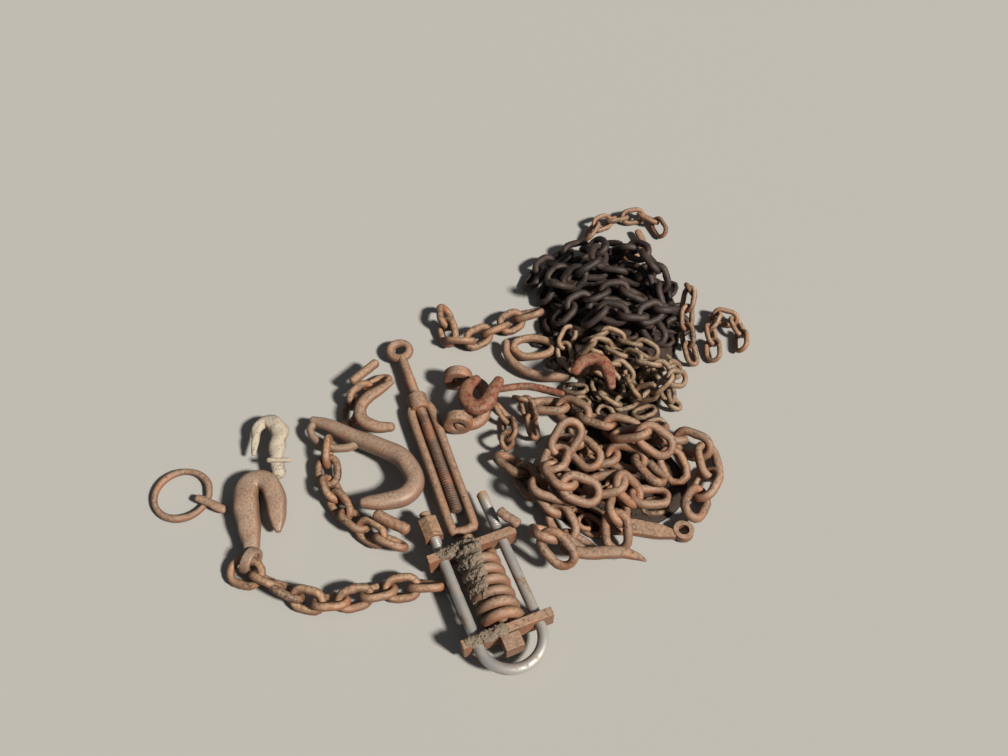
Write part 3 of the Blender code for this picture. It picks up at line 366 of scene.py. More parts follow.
@dataclass
class Shape:
    """A mesh in the making, gathered from grids of points."""

    points: list = field(default_factory=list)
    quads: list = field(default_factory=list)
    triangles: list = field(default_factory=list)
    tones: list = field(default_factory=list)
    rubs: list = field(default_factory=list)
    count: int = 0

    def add_grid(self, grid: np.ndarray, closed: bool, poles: np.ndarray | None = None,
                 tone: float | np.ndarray = 0.0, rubbed: np.ndarray | None = None) -> None:
        """Add a tube whose rings are the grid's rows, each ring closed on itself.

        Args:
            grid: Points, rings by sides by three. Rings turn so that faces point outwards.
            closed: Whether the last ring meets the first.
            poles: The two points that close the ends of an open tube.
            tone: How light the piece or each point is: about -1 to 1, less where painted shade
                lies on it, as on the turnbuckle's thread, and more on dry crumbs.
            rubbed: How far each point is rubbed, from 0 to 1, the poles last.
        """
        rings, sides = grid.shape[:2]
        index = self.count + np.arange(rings * sides).reshape(rings, sides)
        beside = np.roll(index, -1, axis=1)
        ahead = np.roll(index, -1, axis=0)
        both = np.roll(beside, -1, axis=0)
        faces = np.stack([index, ahead, both, beside], axis=2)
        self.quads.append((faces if closed else faces[:-1]).reshape(-1, 4))
        self.points.append(grid.reshape(-1, 3))
        added = rings * sides
        if not closed:
            first, last = self.count + added, self.count + added + 1
            self.points.append(poles)
            self.triangles.append(np.stack([np.full(sides, first), index[0], beside[0]], axis=1))
            self.triangles.append(np.stack([np.full(sides, last), beside[-1], index[-1]], axis=1))
            added += 2
        self.tones.append(np.full(added, tone))
        self.rubs.append(np.zeros(added) if rubbed is None else rubbed.ravel())
        self.count += added

    def vertices(self) -> np.ndarray:
        """Give all points gathered so far."""
        return np.vstack(self.points)

    def move(self, offset: np.ndarray) -> None:
        """Move all points gathered so far."""
        self.points = [points + offset for points in self.points]

    def finished(self, name: str, material: Material) -> Object:
        """Make the object, smooth, with its tone and rubbed places kept as attributes.

        Args:
            name: The object's name.
            material: Its material.

        Returns:
            The new object, linked to the scene.
        """
        quads = np.vstack(self.quads)
        triangles = np.vstack(self.triangles) if self.triangles else np.empty((0, 3), int)
        corners = np.concatenate([quads.ravel(), triangles.ravel()]).astype(np.int32)
        totals = np.concatenate([np.full(len(quads), 4), np.full(len(triangles), 3)])
        starts = np.concatenate([[0], np.cumsum(totals)[:-1]]).astype(np.int32)
        mesh = bpy.data.meshes.new(name)
        mesh.vertices.add(self.count)
        mesh.vertices.foreach_set("co", self.vertices().astype(np.float32).ravel())
        mesh.loops.add(len(corners))
        mesh.loops.foreach_set("vertex_index", corners)
        mesh.polygons.add(len(totals))
        mesh.polygons.foreach_set("loop_start", starts)
        mesh.polygons.foreach_set("use_smooth", np.ones(len(totals), bool))
        mesh.update(calc_edges=True)
        mesh.validate()
        for attribute, values in (("tone", self.tones), ("rubbed", self.rubs)):
            layer = mesh.attributes.new(attribute, "FLOAT", "POINT")
            layer.data.foreach_set("value", np.concatenate(values).astype(np.float32))
        mesh.materials.append(material)
        return make_object(name, mesh)


def waves(along: np.ndarray, around: np.ndarray, seed: str, highest: int = 5) -> np.ndarray:
    """Give an uneven surface: six cosine waves with seeded counts and phases, over 2.4.

    Args:
        along: Turns along the surface, of any shape.
        around: Turns around it, of a shape that goes with the first.
        seed: What the counts and phases are drawn from.
        highest: The most waves to a turn along.

    Returns:
        Values of about -1 to 1.
    """
    draw = random.Random(seed)
    total = 0.0
    for _ in range(6):
        count = draw.randint(1, highest)
        turns = draw.randint(0, 3)
        phase = draw.uniform(0, 2 * math.pi)
        total = total + np.cos(2 * math.pi * (count * along + turns * around) + phase) / 2.4
    return total


def smooth_route(points: Sequence) -> np.ndarray:
    """Points about ROUTE_STEP apart on a smooth curve through the given ones.

    Between two points the curve is the cubic whose slopes are those of the chords between
    their neighbours.

    Args:
        points: The points, in metres.

    Returns:
        The curve's points.
    """
    points = np.asarray(points, dtype=float)
    ends = np.vstack([2 * points[0] - points[1], points, 2 * points[-1] - points[-2]])
    pieces = []
    for k in range(1, len(ends) - 2):
        before, start, stop, after = ends[k - 1:k + 3]
        count = max(2, math.ceil(np.linalg.norm(stop - start) / ROUTE_STEP))
        t = np.linspace(0, 1, count, endpoint=False)[:, None]
        pieces.append(0.5 * (2 * start + (stop - before) * t
                             + (2 * before - 5 * start + 4 * stop - after) * t**2
                             + (3 * start - before - 3 * stop + after) * t**3))
    pieces.append(points[-1:])
    return np.vstack(pieces)


def lengths(path: np.ndarray) -> np.ndarray:
    """Give how far along a path each of its points lies."""
    return np.concatenate([[0.0], np.cumsum(np.linalg.norm(np.diff(path, axis=0), axis=1))])


def resample(points: np.ndarray, count: int) -> np.ndarray:
    """Give the same curve with evenly spaced points.

    Args:
        points: The curve's points, whose first three columns are its place.
        count: How many points to give.

    Returns:
        The new points, with every column carried along.
    """
    along = lengths(points[:, :3])
    places = np.linspace(0.0, along[-1], count)
    return np.column_stack([np.interp(places, along, column) for column in points.T])


@dataclass(frozen=True)
class Section:
    """The cross-section of a bar: round, or flattened as a forging is."""

    flatten: float = 1.0         # height as a share of width
    squareness: float = 1.0      # 1 is an ellipse, lower is squarer
    sides: int = 16
    rough: float = 0.03          # unevenness as a share of the radius


def screw(along: np.ndarray, turn: np.ndarray, pitch: float, depth: float) -> np.ndarray:
    """Give a screw thread's height over its bar, -depth to depth and back along each pitch."""
    cycle = np.mod(along / pitch - turn, 1.0)
    return depth * (1 - 2 * np.abs(2 * cycle - 1))


def sweep(path: np.ndarray, radii: np.ndarray, section: Section, closed: bool = False, seed: str = "",
          up: tuple = (0.0, 0.0, 1.0), thread: tuple | None = None) -> tuple[np.ndarray, np.ndarray]:
    """Carry a section along a path.

    At each point the section stands across the path: half its width lies along the cross
    product of the path's direction and up, half its height at right angles to both. Its edge
    is at (cos a, sin a), each raised to the power of the squareness.

    Args:
        path: The path's points.
        radii: Half the section's width at each point.
        section: The section's shape.
        closed: Whether the path is a loop.
        seed: What the unevenness is drawn from.
        up: The direction that the section's height leans towards.
        thread: A screw thread's pitch and depth, and the first and last share of the length
            that has it.

    Returns:
        The grid of points, rings by sides by three, and the two end points.
    """
    if closed:
        tangents = np.roll(path, -1, axis=0) - np.roll(path, 1, axis=0)
    else:
        tangents = np.gradient(path, axis=0)
    tangents /= np.linalg.norm(tangents, axis=1)[:, None]
    side = np.cross(tangents, up)
    side /= np.linalg.norm(side, axis=1)[:, None]
    upright = np.cross(side, tangents)
    angles = np.arange(section.sides) * 2 * math.pi / section.sides
    across = np.sign(np.cos(angles)) * np.abs(np.cos(angles))**section.squareness
    height = np.sign(np.sin(angles)) * np.abs(np.sin(angles))**section.squareness
    share = np.linspace(0, 1, len(path), endpoint=not closed)[:, None]
    turn = angles[None, :] / (2 * math.pi)
    scale = 1 + section.rough * waves(share, turn, seed, 3 if closed else 7)
    size = radii[:, None] * scale
    if thread:
        pitch, depth, start, stop = thread
        cut = screw(lengths(path)[:, None], turn, pitch, depth)
        size = size + np.where((share >= start) & (share <= stop), cut, 0.0)
    grid = (path[:, None, :] + (size * across)[:, :, None] * side[:, None, :]
            + (size * height * section.flatten)[:, :, None] * upright[:, None, :])
    return grid, path[[0, -1]]


def round_ends(path: np.ndarray, radii: np.ndarray, share: float) -> tuple[np.ndarray, np.ndarray]:
    """Add a rounded end to each end of a bar.

    Each end goes on by a share of its radius, and the radius falls as a quarter of an ellipse.

    Args:
        path: The bar's path.
        radii: Its radii.
        share: How long each round end is, as a share of the radius there.

    Returns:
        The longer path and its radii.
    """
    angles = np.linspace(0, math.pi / 2 * END_TURN, END_RINGS + 1)[1:]
    pieces, sizes = [path], [radii]
    for end, inner, first in ((0, 1, True), (-1, -2, False)):
        way = path[end] - path[inner]
        way = way / np.linalg.norm(way)
        new = path[end] + np.sin(angles)[:, None] * way * radii[end] * share
        size = radii[end] * np.cos(angles)
        if first:
            pieces, sizes = [new[::-1], *pieces], [size[::-1], *sizes]
        else:
            pieces, sizes = [*pieces, new], [*sizes, size]
    return np.vstack(pieces), np.concatenate(sizes)


def turned(profile: Sequence, origin: np.ndarray, axis: np.ndarray, steps: int = 28) -> np.ndarray:
    """Turn a closed profile about an axis into a ring.

    Args:
        profile: Points of distance along the axis and radius, in metres, in the order that
            turns from the axis outwards.
        origin: The ring's middle.
        axis: The direction of its axis.
        steps: How many times the profile stands round the ring.

    Returns:
        The grid of points, steps by profile points by three.
    """
    axis = np.asarray(axis, float) / np.linalg.norm(axis)
    helper = np.array((0.0, 0.0, 1.0)) if abs(axis[2]) < 0.9 else np.array((1.0, 0.0, 0.0))
    first = np.cross(axis, helper)
    first /= np.linalg.norm(first)
    second = np.cross(first, axis)
    angles = np.arange(steps) * 2 * math.pi / steps
    spokes = np.cos(angles)[:, None] * first + np.sin(angles)[:, None] * second
    profile = np.asarray(profile, float)
    return (np.asarray(origin) + profile[None, :, 1, None] * spokes[:, None, :]
            + profile[None, :, 0, None] * axis)


# Laying the chain


@dataclass(frozen=True)
class LinkSize:
    """One size of welded chain link."""

    wire: float
    pitch: float                 # length inside the link
    inside: float                # width inside the link
    crown_degrees: tuple         # where the points of the solid's end bend lie
    corner: float                # outer radius of the solid's flat-sided wire
    bite: float                  # share of the wire that the solid's neighbours share
    worn: float = 0.07           # share of the wire that neighbours have worn away
    rub: float = 0.16            # depth of their rubbing as a share of the wire's radius
    rub_degrees: float = 42.0    # from the crown's middle to where the rubbing fades
    weld: float = 0.09           # height of the weld as a share of the wire's radius
    weld_reach: float = 0.22     # half its length as a share of the wire
    uneven: float = 0.025        # unevenness as a share of the wire's radius
    outer_rust: float = 0.35     # new rust outside a crown against that inside it
    crown_steps: int = 8
    straight_steps: int = 3
    sides: int = 10

    def coarse(self) -> "LinkSize":
        """Give the same link with few faces, for the many that lie half buried."""
        return replace(self, crown_steps=4, straight_steps=1, sides=6)

    def corners(self) -> np.ndarray:
        """Work out the solid link's centreline.

        Returns:
            Its corner points, in the link's own plane.
        """
        half_length = (self.pitch + self.wire * (1 - self.bite)) / 2
        turn = (self.inside + self.wire) / 2
        angles = np.radians(self.crown_degrees)
        reach = np.cos(angles).max()
        crown = np.column_stack([half_length - turn + turn * np.cos(angles) / reach,
                                 turn * np.sin(angles)])
        return np.column_stack([np.vstack([crown, -crown]), np.zeros(2 * len(crown))])

    def balls(self) -> np.ndarray:
        """Work out the test points of the solid link.

        Returns:
            Points along its centreline, a few to each edge.
        """
        corners = self.corners()
        following = np.roll(corners, -1, axis=0)
        shares = np.arange(EDGE_SAMPLES)[:, None, None] / EDGE_SAMPLES
        return (corners + shares * (following - corners)).reshape(-1, 3)

    def ball_radius(self) -> float:
        """Give the radius of the test points."""
        return self.wire / 2 * self.corner

    def line(self) -> tuple[np.ndarray, np.ndarray, np.ndarray, np.ndarray]:
        """Work out the round link's centreline: two half circles joined by straight sides.

        Returns:
            The points, the directions that face outwards there, how near each is to the
            middle of a crown, and how near to the weld in one side.
        """
        reach = (self.pitch + self.wire * (1 - self.worn)) / 2
        turn = (self.inside + self.wire) / 2
        straight = reach - turn
        half = np.radians(np.linspace(-90, 90, self.crown_steps + 1))
        along = np.linspace(straight, -straight, self.straight_steps + 2)[1:-1]
        crown = np.column_stack([straight + turn * np.cos(half), turn * np.sin(half)])
        side = np.column_stack([along, np.full(len(along), turn)])
        points = np.vstack([crown, side, -crown, -side])
        facing = np.column_stack([np.cos(half), np.sin(half)])
        level = np.tile((0.0, 1.0), (len(along), 1))
        outward = np.vstack([facing, level, -facing, -level])
        bend = np.exp(-(np.degrees(half) / self.rub_degrees)**2)
        flat = np.zeros(len(along))
        crowns = np.concatenate([bend, flat, bend, flat])
        weld = np.exp(-((points[:, 0] / (self.weld_reach * self.wire))**2)) * (points[:, 1] > 0)
        depth = np.zeros((len(points), 1))
        return np.hstack([points, depth]), np.hstack([outward, depth]), crowns, weld


FIVE_POINTS = (-90.0, -45.0, 0.0, 45.0, 90.0)
FOUR_POINTS = (-90.0, -30.0, 30.0, 90.0)


class Size(Enum):
    """The sizes of chain in the heap."""

    LARGE = LinkSize(11.2 * MM, 34.0 * MM, 15.5 * MM, FOUR_POINTS, 1.06, 0.22)
    MEDIUM = LinkSize(9.8 * MM, 27.0 * MM, 13.5 * MM, FOUR_POINTS, 1.06, 0.14)
    SMALL = LinkSize(7.0 * MM, 25.0 * MM, 11.5 * MM, FOUR_POINTS, 1.15, 0.22, sides=8)
    END = LinkSize(10.0 * MM, 31.0 * MM, 18.0 * MM, FIVE_POINTS, 1.06, 0.14)
    SHADED = LinkSize(9.8 * MM, 27.0 * MM, 13.5 * MM, FOUR_POINTS, 1.15, 0.25, sides=8)


class Bed:
    """Test balls over everything already laid, which the next length rests on."""

    def __init__(self) -> None:
        """Start with bare floor."""
        self.centres = np.empty((0, 3))
        self.radii = np.empty(0)

    def add(self, centres: np.ndarray, radius: float) -> None:
        """Lay test balls of one radius at the given centres."""
        self.centres = np.vstack([self.centres, centres])
        self.radii = np.concatenate([self.radii, np.full(len(centres), radius)])

    def near(self, low: np.ndarray, high: np.ndarray, margin: float) -> "Bed":
        """Give a smaller bed with only the balls near a box seen from above.

        Args:
            low: The box's lowest corner.
            high: Its highest corner.
            margin: How far outside the box a ball may be.

        Returns:
            The smaller bed.
        """
        inside = np.all((self.centres[:, :2] > low[:2] - margin)
                        & (self.centres[:, :2] < high[:2] + margin), axis=1)
        part = Bed()
        part.centres = self.centres[inside]
        part.radii = self.radii[inside]
        return part

    def lift(self, centres: np.ndarray, radius: float) -> np.ndarray:
        """Say how far each ball must rise to lie above the floor and all that is down.

        Args:
            centres: The balls' centres.
            radius: Their radius.

        Returns:
            The lift of each ball, below nothing where it has room.
        """
        need = radius + GAP - centres[:, 2]
        if not len(self.radii):
            return need
        apart = centres[:, None, :2] - self.centres[None, :, :2]
        beside = (apart**2).sum(axis=2)
        reach = (radius + self.radii[None, :] + GAP)**2
        top = self.centres[None, :, 2] + np.sqrt(np.maximum(reach - beside, 0.0))
        rise = np.where(beside < reach, top - centres[:, None, 2], -1.0)
        return np.maximum(need, rise.max(axis=1))

    def press(self, centres: np.ndarray, radius: float) -> float:
        """Say how deep balls of one radius lie in what is down, at the deepest place.

        Args:
            centres: The balls' centres.
            radius: Their radius.

        Returns:
            The depth, below nothing where they lie free.
        """
        close = self.near(centres.min(axis=0), centres.max(axis=0), 3 * radius)
        if not len(close.radii):
            return -radius
        apart = np.linalg.norm(centres[:, None, :] - close.centres[None, :, :], axis=2)
        return float((radius + close.radii[None, :] - apart).max())


@dataclass
class Link:
    """One link in its place: its size, its middle and its length, width and normal."""

    size: LinkSize
    centre: np.ndarray
    axes: np.ndarray

    def balls(self) -> np.ndarray:
        """Give the link's test points."""
        return self.centre + self.size.balls() @ self.axes

    def lifts(self, bed: Bed) -> tuple[np.ndarray, np.ndarray]:
        """Say how far the link must rise to clear the bed.

        Args:
            bed: What is already laid.

        Returns:
            The link's test points, and the lift that each needs.
        """
        balls = self.balls()
        radius = self.size.ball_radius()
        close = bed.near(balls.min(axis=0), balls.max(axis=0), 2 * radius + GAP)
        return balls, close.lift(balls, radius)

    def draw(self, shape: Shape, seed: str, tone: float, lowest: float = -1.0) -> None:
        """Draw the link as a round bar carried along its centreline.

        The bar's radius is the wire's, less where the neighbour has worn the inside of a
        crown, more at the weld, and uneven with seeded waves.

        Args:
            shape: What the link is added to.
            seed: What the unevenness is drawn from.
            tone: How light the link is against its neighbours.
            lowest: The height that no point lies below.
        """
        size = self.size
        points, outward, crowns, weld = size.line()
        turn = np.arange(size.sides) / size.sides
        angles = 2 * math.pi * turn
        along = np.arange(len(points))[:, None] / len(points)
        inner = np.maximum(-np.cos(angles), 0.0)
        scale = (1 + size.uneven * waves(along, turn[None, :], seed)
                 - size.rub * crowns[:, None] * inner**2 + size.weld * weld[:, None])
        radius = size.wire / 2 * scale
        local = (points[:, None, :] + (radius * np.cos(angles))[:, :, None] * outward[:, None, :]
                 + (radius * np.sin(angles))[:, :, None] * np.array((0.0, 0.0, 1.0)))
        grid = self.centre + local @ self.axes
        grid[:, :, 2] = np.maximum(grid[:, :, 2], lowest)
        rubbed = crowns[:, None] * (size.outer_rust + (1 - size.outer_rust) * inner)
        shape.add_grid(grid, closed=True, tone=tone, rubbed=rubbed)


def link_axes(start: np.ndarray, stop: np.ndarray, roll: float) -> np.ndarray:
    """Work out a link's directions from its two joints.

    Args:
        start: The first joint.
        stop: The second.
        roll: The angle in radians that the link leans about its own length.

    Returns:
        Length, width and normal directions, one to a row.
    """
    along = (stop - start) / np.linalg.norm(stop - start)
    level = np.cross((0.0, 0.0, 1.0), along)
    level /= np.linalg.norm(level)
    upright = np.cross(along, level)
    width = math.cos(roll) * level + math.sin(roll) * upright
    return np.array([along, width, np.cross(along, width)])


def stand(size: LinkSize, start: np.ndarray, stop: np.ndarray, roll: float) -> Link:
    """Stand a link between its two joints, with its roll in radians."""
    return Link(size, (start + stop) / 2, link_axes(start, stop, roll))


def step_along(path: np.ndarray, pitches: np.ndarray, heights: np.ndarray) -> np.ndarray:
    """Place joints on a path, each one link further along.

    A link that rises covers less of the path: the root of its pitch squared less its rise
    squared.

    Args:
        path: The path seen from above.
        pitches: The links' lengths between their joints.
        heights: The joints' heights, one more than the links.

    Returns:
        The joints' places.
    """
    joints = [path[0]]
    at = 0
    for chord in np.sqrt(pitches**2 - np.diff(heights)**2):
        apart = np.linalg.norm(path[at:] - joints[-1], axis=1)
        beyond = np.nonzero(apart >= chord)[0]
        if len(beyond):
            far = beyond[0]
            share = (chord - apart[far - 1]) / (apart[far] - apart[far - 1])
            joints.append(path[at + far - 1] + share * (path[at + far] - path[at + far - 1]))
            at += far - 1
        else:
            way = path[-1] - path[-3]
            joints.append(joints[-1] + way / np.linalg.norm(way) * chord)
    return np.array(joints)


def ease(heights: np.ndarray, limits: np.ndarray, held: bool) -> np.ndarray:
    """Raise joints where a link would stand steeper than its limit.

    Args:
        heights: The joints' heights.
        limits: The most that each link may rise.
        held: Whether the first joint stays where it is.

    Returns:
        The eased heights.
    """
    heights = heights.copy()
    for k in range(1, len(heights)):
        heights[k] = max(heights[k], heights[k - 1] - limits[k - 1])
    for k in range(len(heights) - 2, -1, -1):
        if not (held and k == 0):
            heights[k] = max(heights[k], heights[k + 1] - limits[k])
    return heights


@dataclass
class Chain:
    """A length of chain: its node, size and route seen from above, in millimetres."""

    name: str
    size: Size
    route: list
    roll: float = 42.0               # degrees that links lean, to one side and then the other
    first_size: Size | None = None   # a first link of another size
    first_rolls: tuple = ()          # rolls of the first links, in degrees
    start_height: float | None = None
    links: list = field(default_factory=list)

    def sizes(self, path: np.ndarray) -> list[LinkSize]:
        """Work out how many links the route has room for.

        Args:
            path: The route as a smooth path.

        Returns:
            The size of each link.
        """
        first = (self.first_size or self.size).value
        usual = self.size.value
        return [first] + [usual] * max(1, int((lengths(path)[-1] - first.pitch) / usual.pitch))

    def rolls(self, count: int) -> np.ndarray:
        """Lean the links to one side and the other in turn, never quite alike.

        Args:
            count: How many links there are.

        Returns:
            Each link's roll in radians.
        """
        play = random.Random(f"{SEED} {self.name}")
        rolls = [self.roll * (1 if k % 2 else -1) + play.uniform(-ROLL_PLAY, ROLL_PLAY)
                 for k in range(count)]
        rolls[:len(self.first_rolls)] = self.first_rolls
        return np.radians(rolls[:count])

    def lay(self, bed: Bed) -> None:
        """Let the length settle on the bed, link by link, until none needs a lift.

        Args:
            bed: What is already laid.
        """
        path = smooth_route(np.array(self.route) * MM)
        sizes = self.sizes(path)
        pitches = np.array([size.pitch for size in sizes])
        rolls = self.rolls(len(sizes))
        bed = bed.near(path.min(axis=0), path.max(axis=0), Size.LARGE.value.pitch)
        held = self.start_height is not None
        heights = np.full(len(sizes) + 1, self.size.value.wire / 2)
        if held:
            heights[0] = self.start_height * MM
        for _ in range(SWEEPS):
            joints = step_along(path, pitches, heights)
            worst = 0.0
            for k, size in enumerate(sizes):
                start = np.append(joints[k], heights[k])
                stop = np.append(joints[k + 1], heights[k + 1])
                link = stand(size, start, stop, rolls[k])
                balls, need = link.lifts(bed)
                lowest = need.argmax()
                if need[lowest] <= SETTLED:
                    continue
                worst = max(worst, need[lowest])
                share = min(max((balls[lowest] - start) @ link.axes[0] / size.pitch, 0.0), 1.0)
                if held and k == 0:
                    heights[1] += need[lowest] / max(share, HELD_SHARE)
                    continue
                spread = share**2 + (1 - share)**2
                heights[k] += need[lowest] * (1 - share) / spread
                heights[k + 1] += need[lowest] * share / spread
            heights = ease(heights, pitches * STEEPEST, held)
            if worst <= SETTLED:
                break
        ends = np.column_stack([step_along(path, pitches, heights), heights])
        self.links = [stand(size, ends[k], ends[k + 1], rolls[k]) for k, size in enumerate(sizes)]
        if not held:
            lift = max(link.lifts(bed)[1].max() for link in self.links)
            self.move(np.array((0.0, 0.0, lift)))

    def move(self, offset: np.ndarray) -> None:
        """Move every link by the same offset."""
        for link in self.links:
            link.centre = link.centre + offset

    def surfaces(self) -> Shape:
        """Draw every link, each with its own tone.

        Returns:
            The length's surface.
        """
        shape = Shape()
        draw = random.Random(f"{self.name} tones")
        for k, link in enumerate(self.links):
            link.draw(shape, f"{self.name} {k}", draw.uniform(-1, 1))
        return shape


CHAINS = [
    Chain("chain_to_left_hook", Size.MEDIUM,
          [(-259, -234), (-240, -241), (-220, -252), (-196, -264), (-165, -277), (-129, -276),
           (-99, -266), (-70, -259), (-40, -258), (-8, -257)],
          first_size=Size.END, first_rolls=(18, -66), start_height=10.5),
    Chain("chain_under_big_hook", Size.MEDIUM,
          [(-168, -65), (-167, -97), (-160, -128), (-146, -155), (-124, -176), (-96, -196),
           (-68, -208), (-48, -222)], first_rolls=(90, 8), start_height=18.5),
    Chain("chain_over_big_hook", Size.MEDIUM,
          [(-147, -27), (-146, -8), (-133, 12), (-114, 30), (-97, 50)]),
    Chain("large_chain_right", Size.LARGE,
          [(236, -60), (262, -58), (289, -63), (306, -92), (296, -126), (276, -150), (266, -182)], 38),
    Chain("large_chain_left", Size.LARGE,
          [(48, -84), (63, -99), (83, -126), (108, -156), (117, -182), (135, -203), (165, -226)], 36),
    Chain("large_chain_loop", Size.LARGE,
          [(150, -88), (186, -84), (216, -94), (236, -120), (234, -150)], 26),
    Chain("large_chain_middle", Size.LARGE, [(118, -56), (138, -74), (158, -102), (180, -134)], 20),
    Chain("large_chain_cross", Size.LARGE,
          [(134, -70), (114, -96), (107, -126), (126, -154), (168, -160)], 24),
    Chain("large_chain_inner", Size.LARGE, [(190, -66), (218, -72), (240, -86), (284, -100)], 20),
    Chain("large_chain_top", Size.LARGE,
          [(91, -4), (130, -10), (158, -34), (188, -44), (216, -54), (262, -56)], 38),
    Chain("large_chain_low", Size.LARGE,
          [(88, -142), (120, -150), (152, -142), (190, -138), (228, -148), (258, -124)], 12),
    Chain("large_chain_drop", Size.LARGE, [(188, -150), (180, -180), (184, -216)], 30),
    Chain("large_chain_front", Size.LARGE, [(94, -192), (101, -218), (124, -236), (152, -242)], 36),
    Chain("chain_back_left", Size.MEDIUM,
          [(-31, 154), (-28, 120), (-18, 96), (4, 98), (27, 113), (51, 127), (72, 145), (108, 150)]),
    Chain("small_chain_left", Size.SMALL, [(40, -10), (56, -30), (58, -54), (46, -78)]),
    Chain("small_chain_next", Size.SMALL, [(70, 4), (82, -20), (88, -46), (82, -74)]),
    Chain("small_chain_back", Size.SMALL, [(140, 108), (128, 84), (133, 60), (138, 22)]),
    Chain("small_chain_upper", Size.SMALL,
          [(150, 66), (188, 72), (208, 55), (228, 36), (252, 26), (265, -1), (255, -34)]),
    Chain("small_chain_mid", Size.SMALL,
          [(174, 38), (205, 24), (216, 2), (229, -16), (248, -4), (278, 8), (300, 22)]),
    Chain("small_chain_ridge", Size.SMALL, [(160, 92), (190, 96), (216, 84), (244, 66), (262, 56)]),
    Chain("small_chain_slope", Size.SMALL,
          [(176, 10), (198, -6), (224, 8), (240, 30), (262, 44), (288, 54), (306, 30)]),
    Chain("small_chain_under", Size.SMALL,
          [(148, 44), (172, 56), (192, 40), (214, 38), (236, 54), (262, 10), (284, -18)]),
    Chain("doubled_chain", Size.SMALL, [(306, 168), (296, 138), (297, 102), (302, 66), (300, 40)]),
    Chain("doubled_chain_end", Size.SMALL,
          [(330, 76), (331, 102), (332, 130), (346, 150), (366, 140), (372, 112), (368, 88)]),
    Chain("back_chain", Size.SMALL,
          [(172, 300), (196, 332), (220, 334), (242, 346), (270, 338), (282, 310)]),
    # The dark chains at the back are finished nearly black: painted shade at the back of the heap
    Chain("dark_chain_one", Size.SHADED,
          [(86, 205), (112, 242), (152, 264), (196, 258), (232, 228), (260, 186), (280, 140),
           (286, 110)]),
    Chain("dark_chain_two", Size.SHADED,
          [(118, 170), (150, 186), (178, 206), (184, 236), (170, 272)]),
    Chain("dark_chain_three", Size.SHADED,
          [(170, 128), (204, 134), (234, 124), (254, 100), (262, 72)]),
    Chain("dark_chain_four", Size.SHADED,
          [(122, 128), (156, 154), (196, 172), (232, 168), (262, 146)]),
    Chain("dark_chain_five", Size.SHADED,
          [(104, 176), (132, 214), (172, 214), (212, 210), (236, 196), (262, 220)]),
    Chain("dark_chain_six", Size.SHADED,
          [(160, 108), (190, 118), (216, 104), (242, 116), (266, 132), (292, 150)], 30),
]

ORDER = [  # from the floor up
    "core", "chain_to_left_hook", "left_grab_hook",
    "chain_under_big_hook", "chain_over_big_hook", "lever_bar", "large_chain_right",
    "large_chain_left", "large_chain_drop", "large_chain_low", "large_chain_loop",
    "dark_chain_five", "dark_chain_one", "dark_chain_two", "dark_chain_three", "dark_chain_four",
    "chain_back_left", "small_chain_under", "small_chain_ridge", "small_chain_slope",
    "dark_chain_six", "big_hook", "turnbuckle_body", "turnbuckle_eye_rod", "clevis",
    "large_chain_top", "large_chain_inner", "large_chain_middle", "small_chain_left",
    "small_chain_next", "red_hook", "straight_rod", "oblong_ring", "curved_rod",
    "large_chain_cross", "prong_bar", "large_chain_front", "small_chain_back",
    "small_chain_upper", "small_chain_mid", "arc_hook", "doubled_chain", "doubled_chain_end",
    "back_chain", "back_hook", "u_bolt", "rear_plate", "front_plate", "spring", "centre_bolt",
    "tall_nut",
]


def vertex_places(mesh: Mesh) -> np.ndarray:
    """Read a mesh's vertices.

    Args:
        mesh: The mesh.

    Returns:
        The vertices, one to a row.
    """
    places = np.empty(3 * len(mesh.vertices))
    mesh.vertices.foreach_get("co", places)
    return places.reshape(-1, 3)


def surface_points(node: str) -> np.ndarray:
    """Give points over a node's faces, about SURFACE_STEP apart.

    A triangle is filled with the points a + u (b - a) + v (c - a), where u and v are whole
    shares whose sum is at most one.

    Args:
        node: The node's name.

    Returns:
        The points, one to each small cell of space.
    """
    mesh = frame["nodes"][node].data
    mesh.calc_loop_triangles()
    corners = np.empty(3 * len(mesh.loop_triangles), int)
    mesh.loop_triangles.foreach_get("vertices", corners)
    places = vertex_places(mesh)
    triangles = np.moveaxis(places[corners.reshape(-1, 3)], 1, 0)
    longest = np.linalg.norm(np.roll(triangles, -1, axis=0) - triangles, axis=2).max(axis=0)
    counts = np.ceil(longest / SURFACE_STEP).astype(int)
    found = [places]
    for count in np.unique(counts[counts > 1]):
        chosen = counts == count
        u, v = np.meshgrid(np.arange(count + 1), np.arange(count + 1))
        inside = u + v <= count
        u, v = u[inside][None, :, None] / count, v[inside][None, :, None] / count
        a, b, c = triangles[:, chosen][:, :, None, :]
        found.append((a + u * (b - a) + v * (c - a)).reshape(-1, 3))
    points = np.vstack(found)
    cells = np.round(points / SURFACE_CELL).astype(int)
    return points[np.unique(cells, axis=0, return_index=True)[1]]


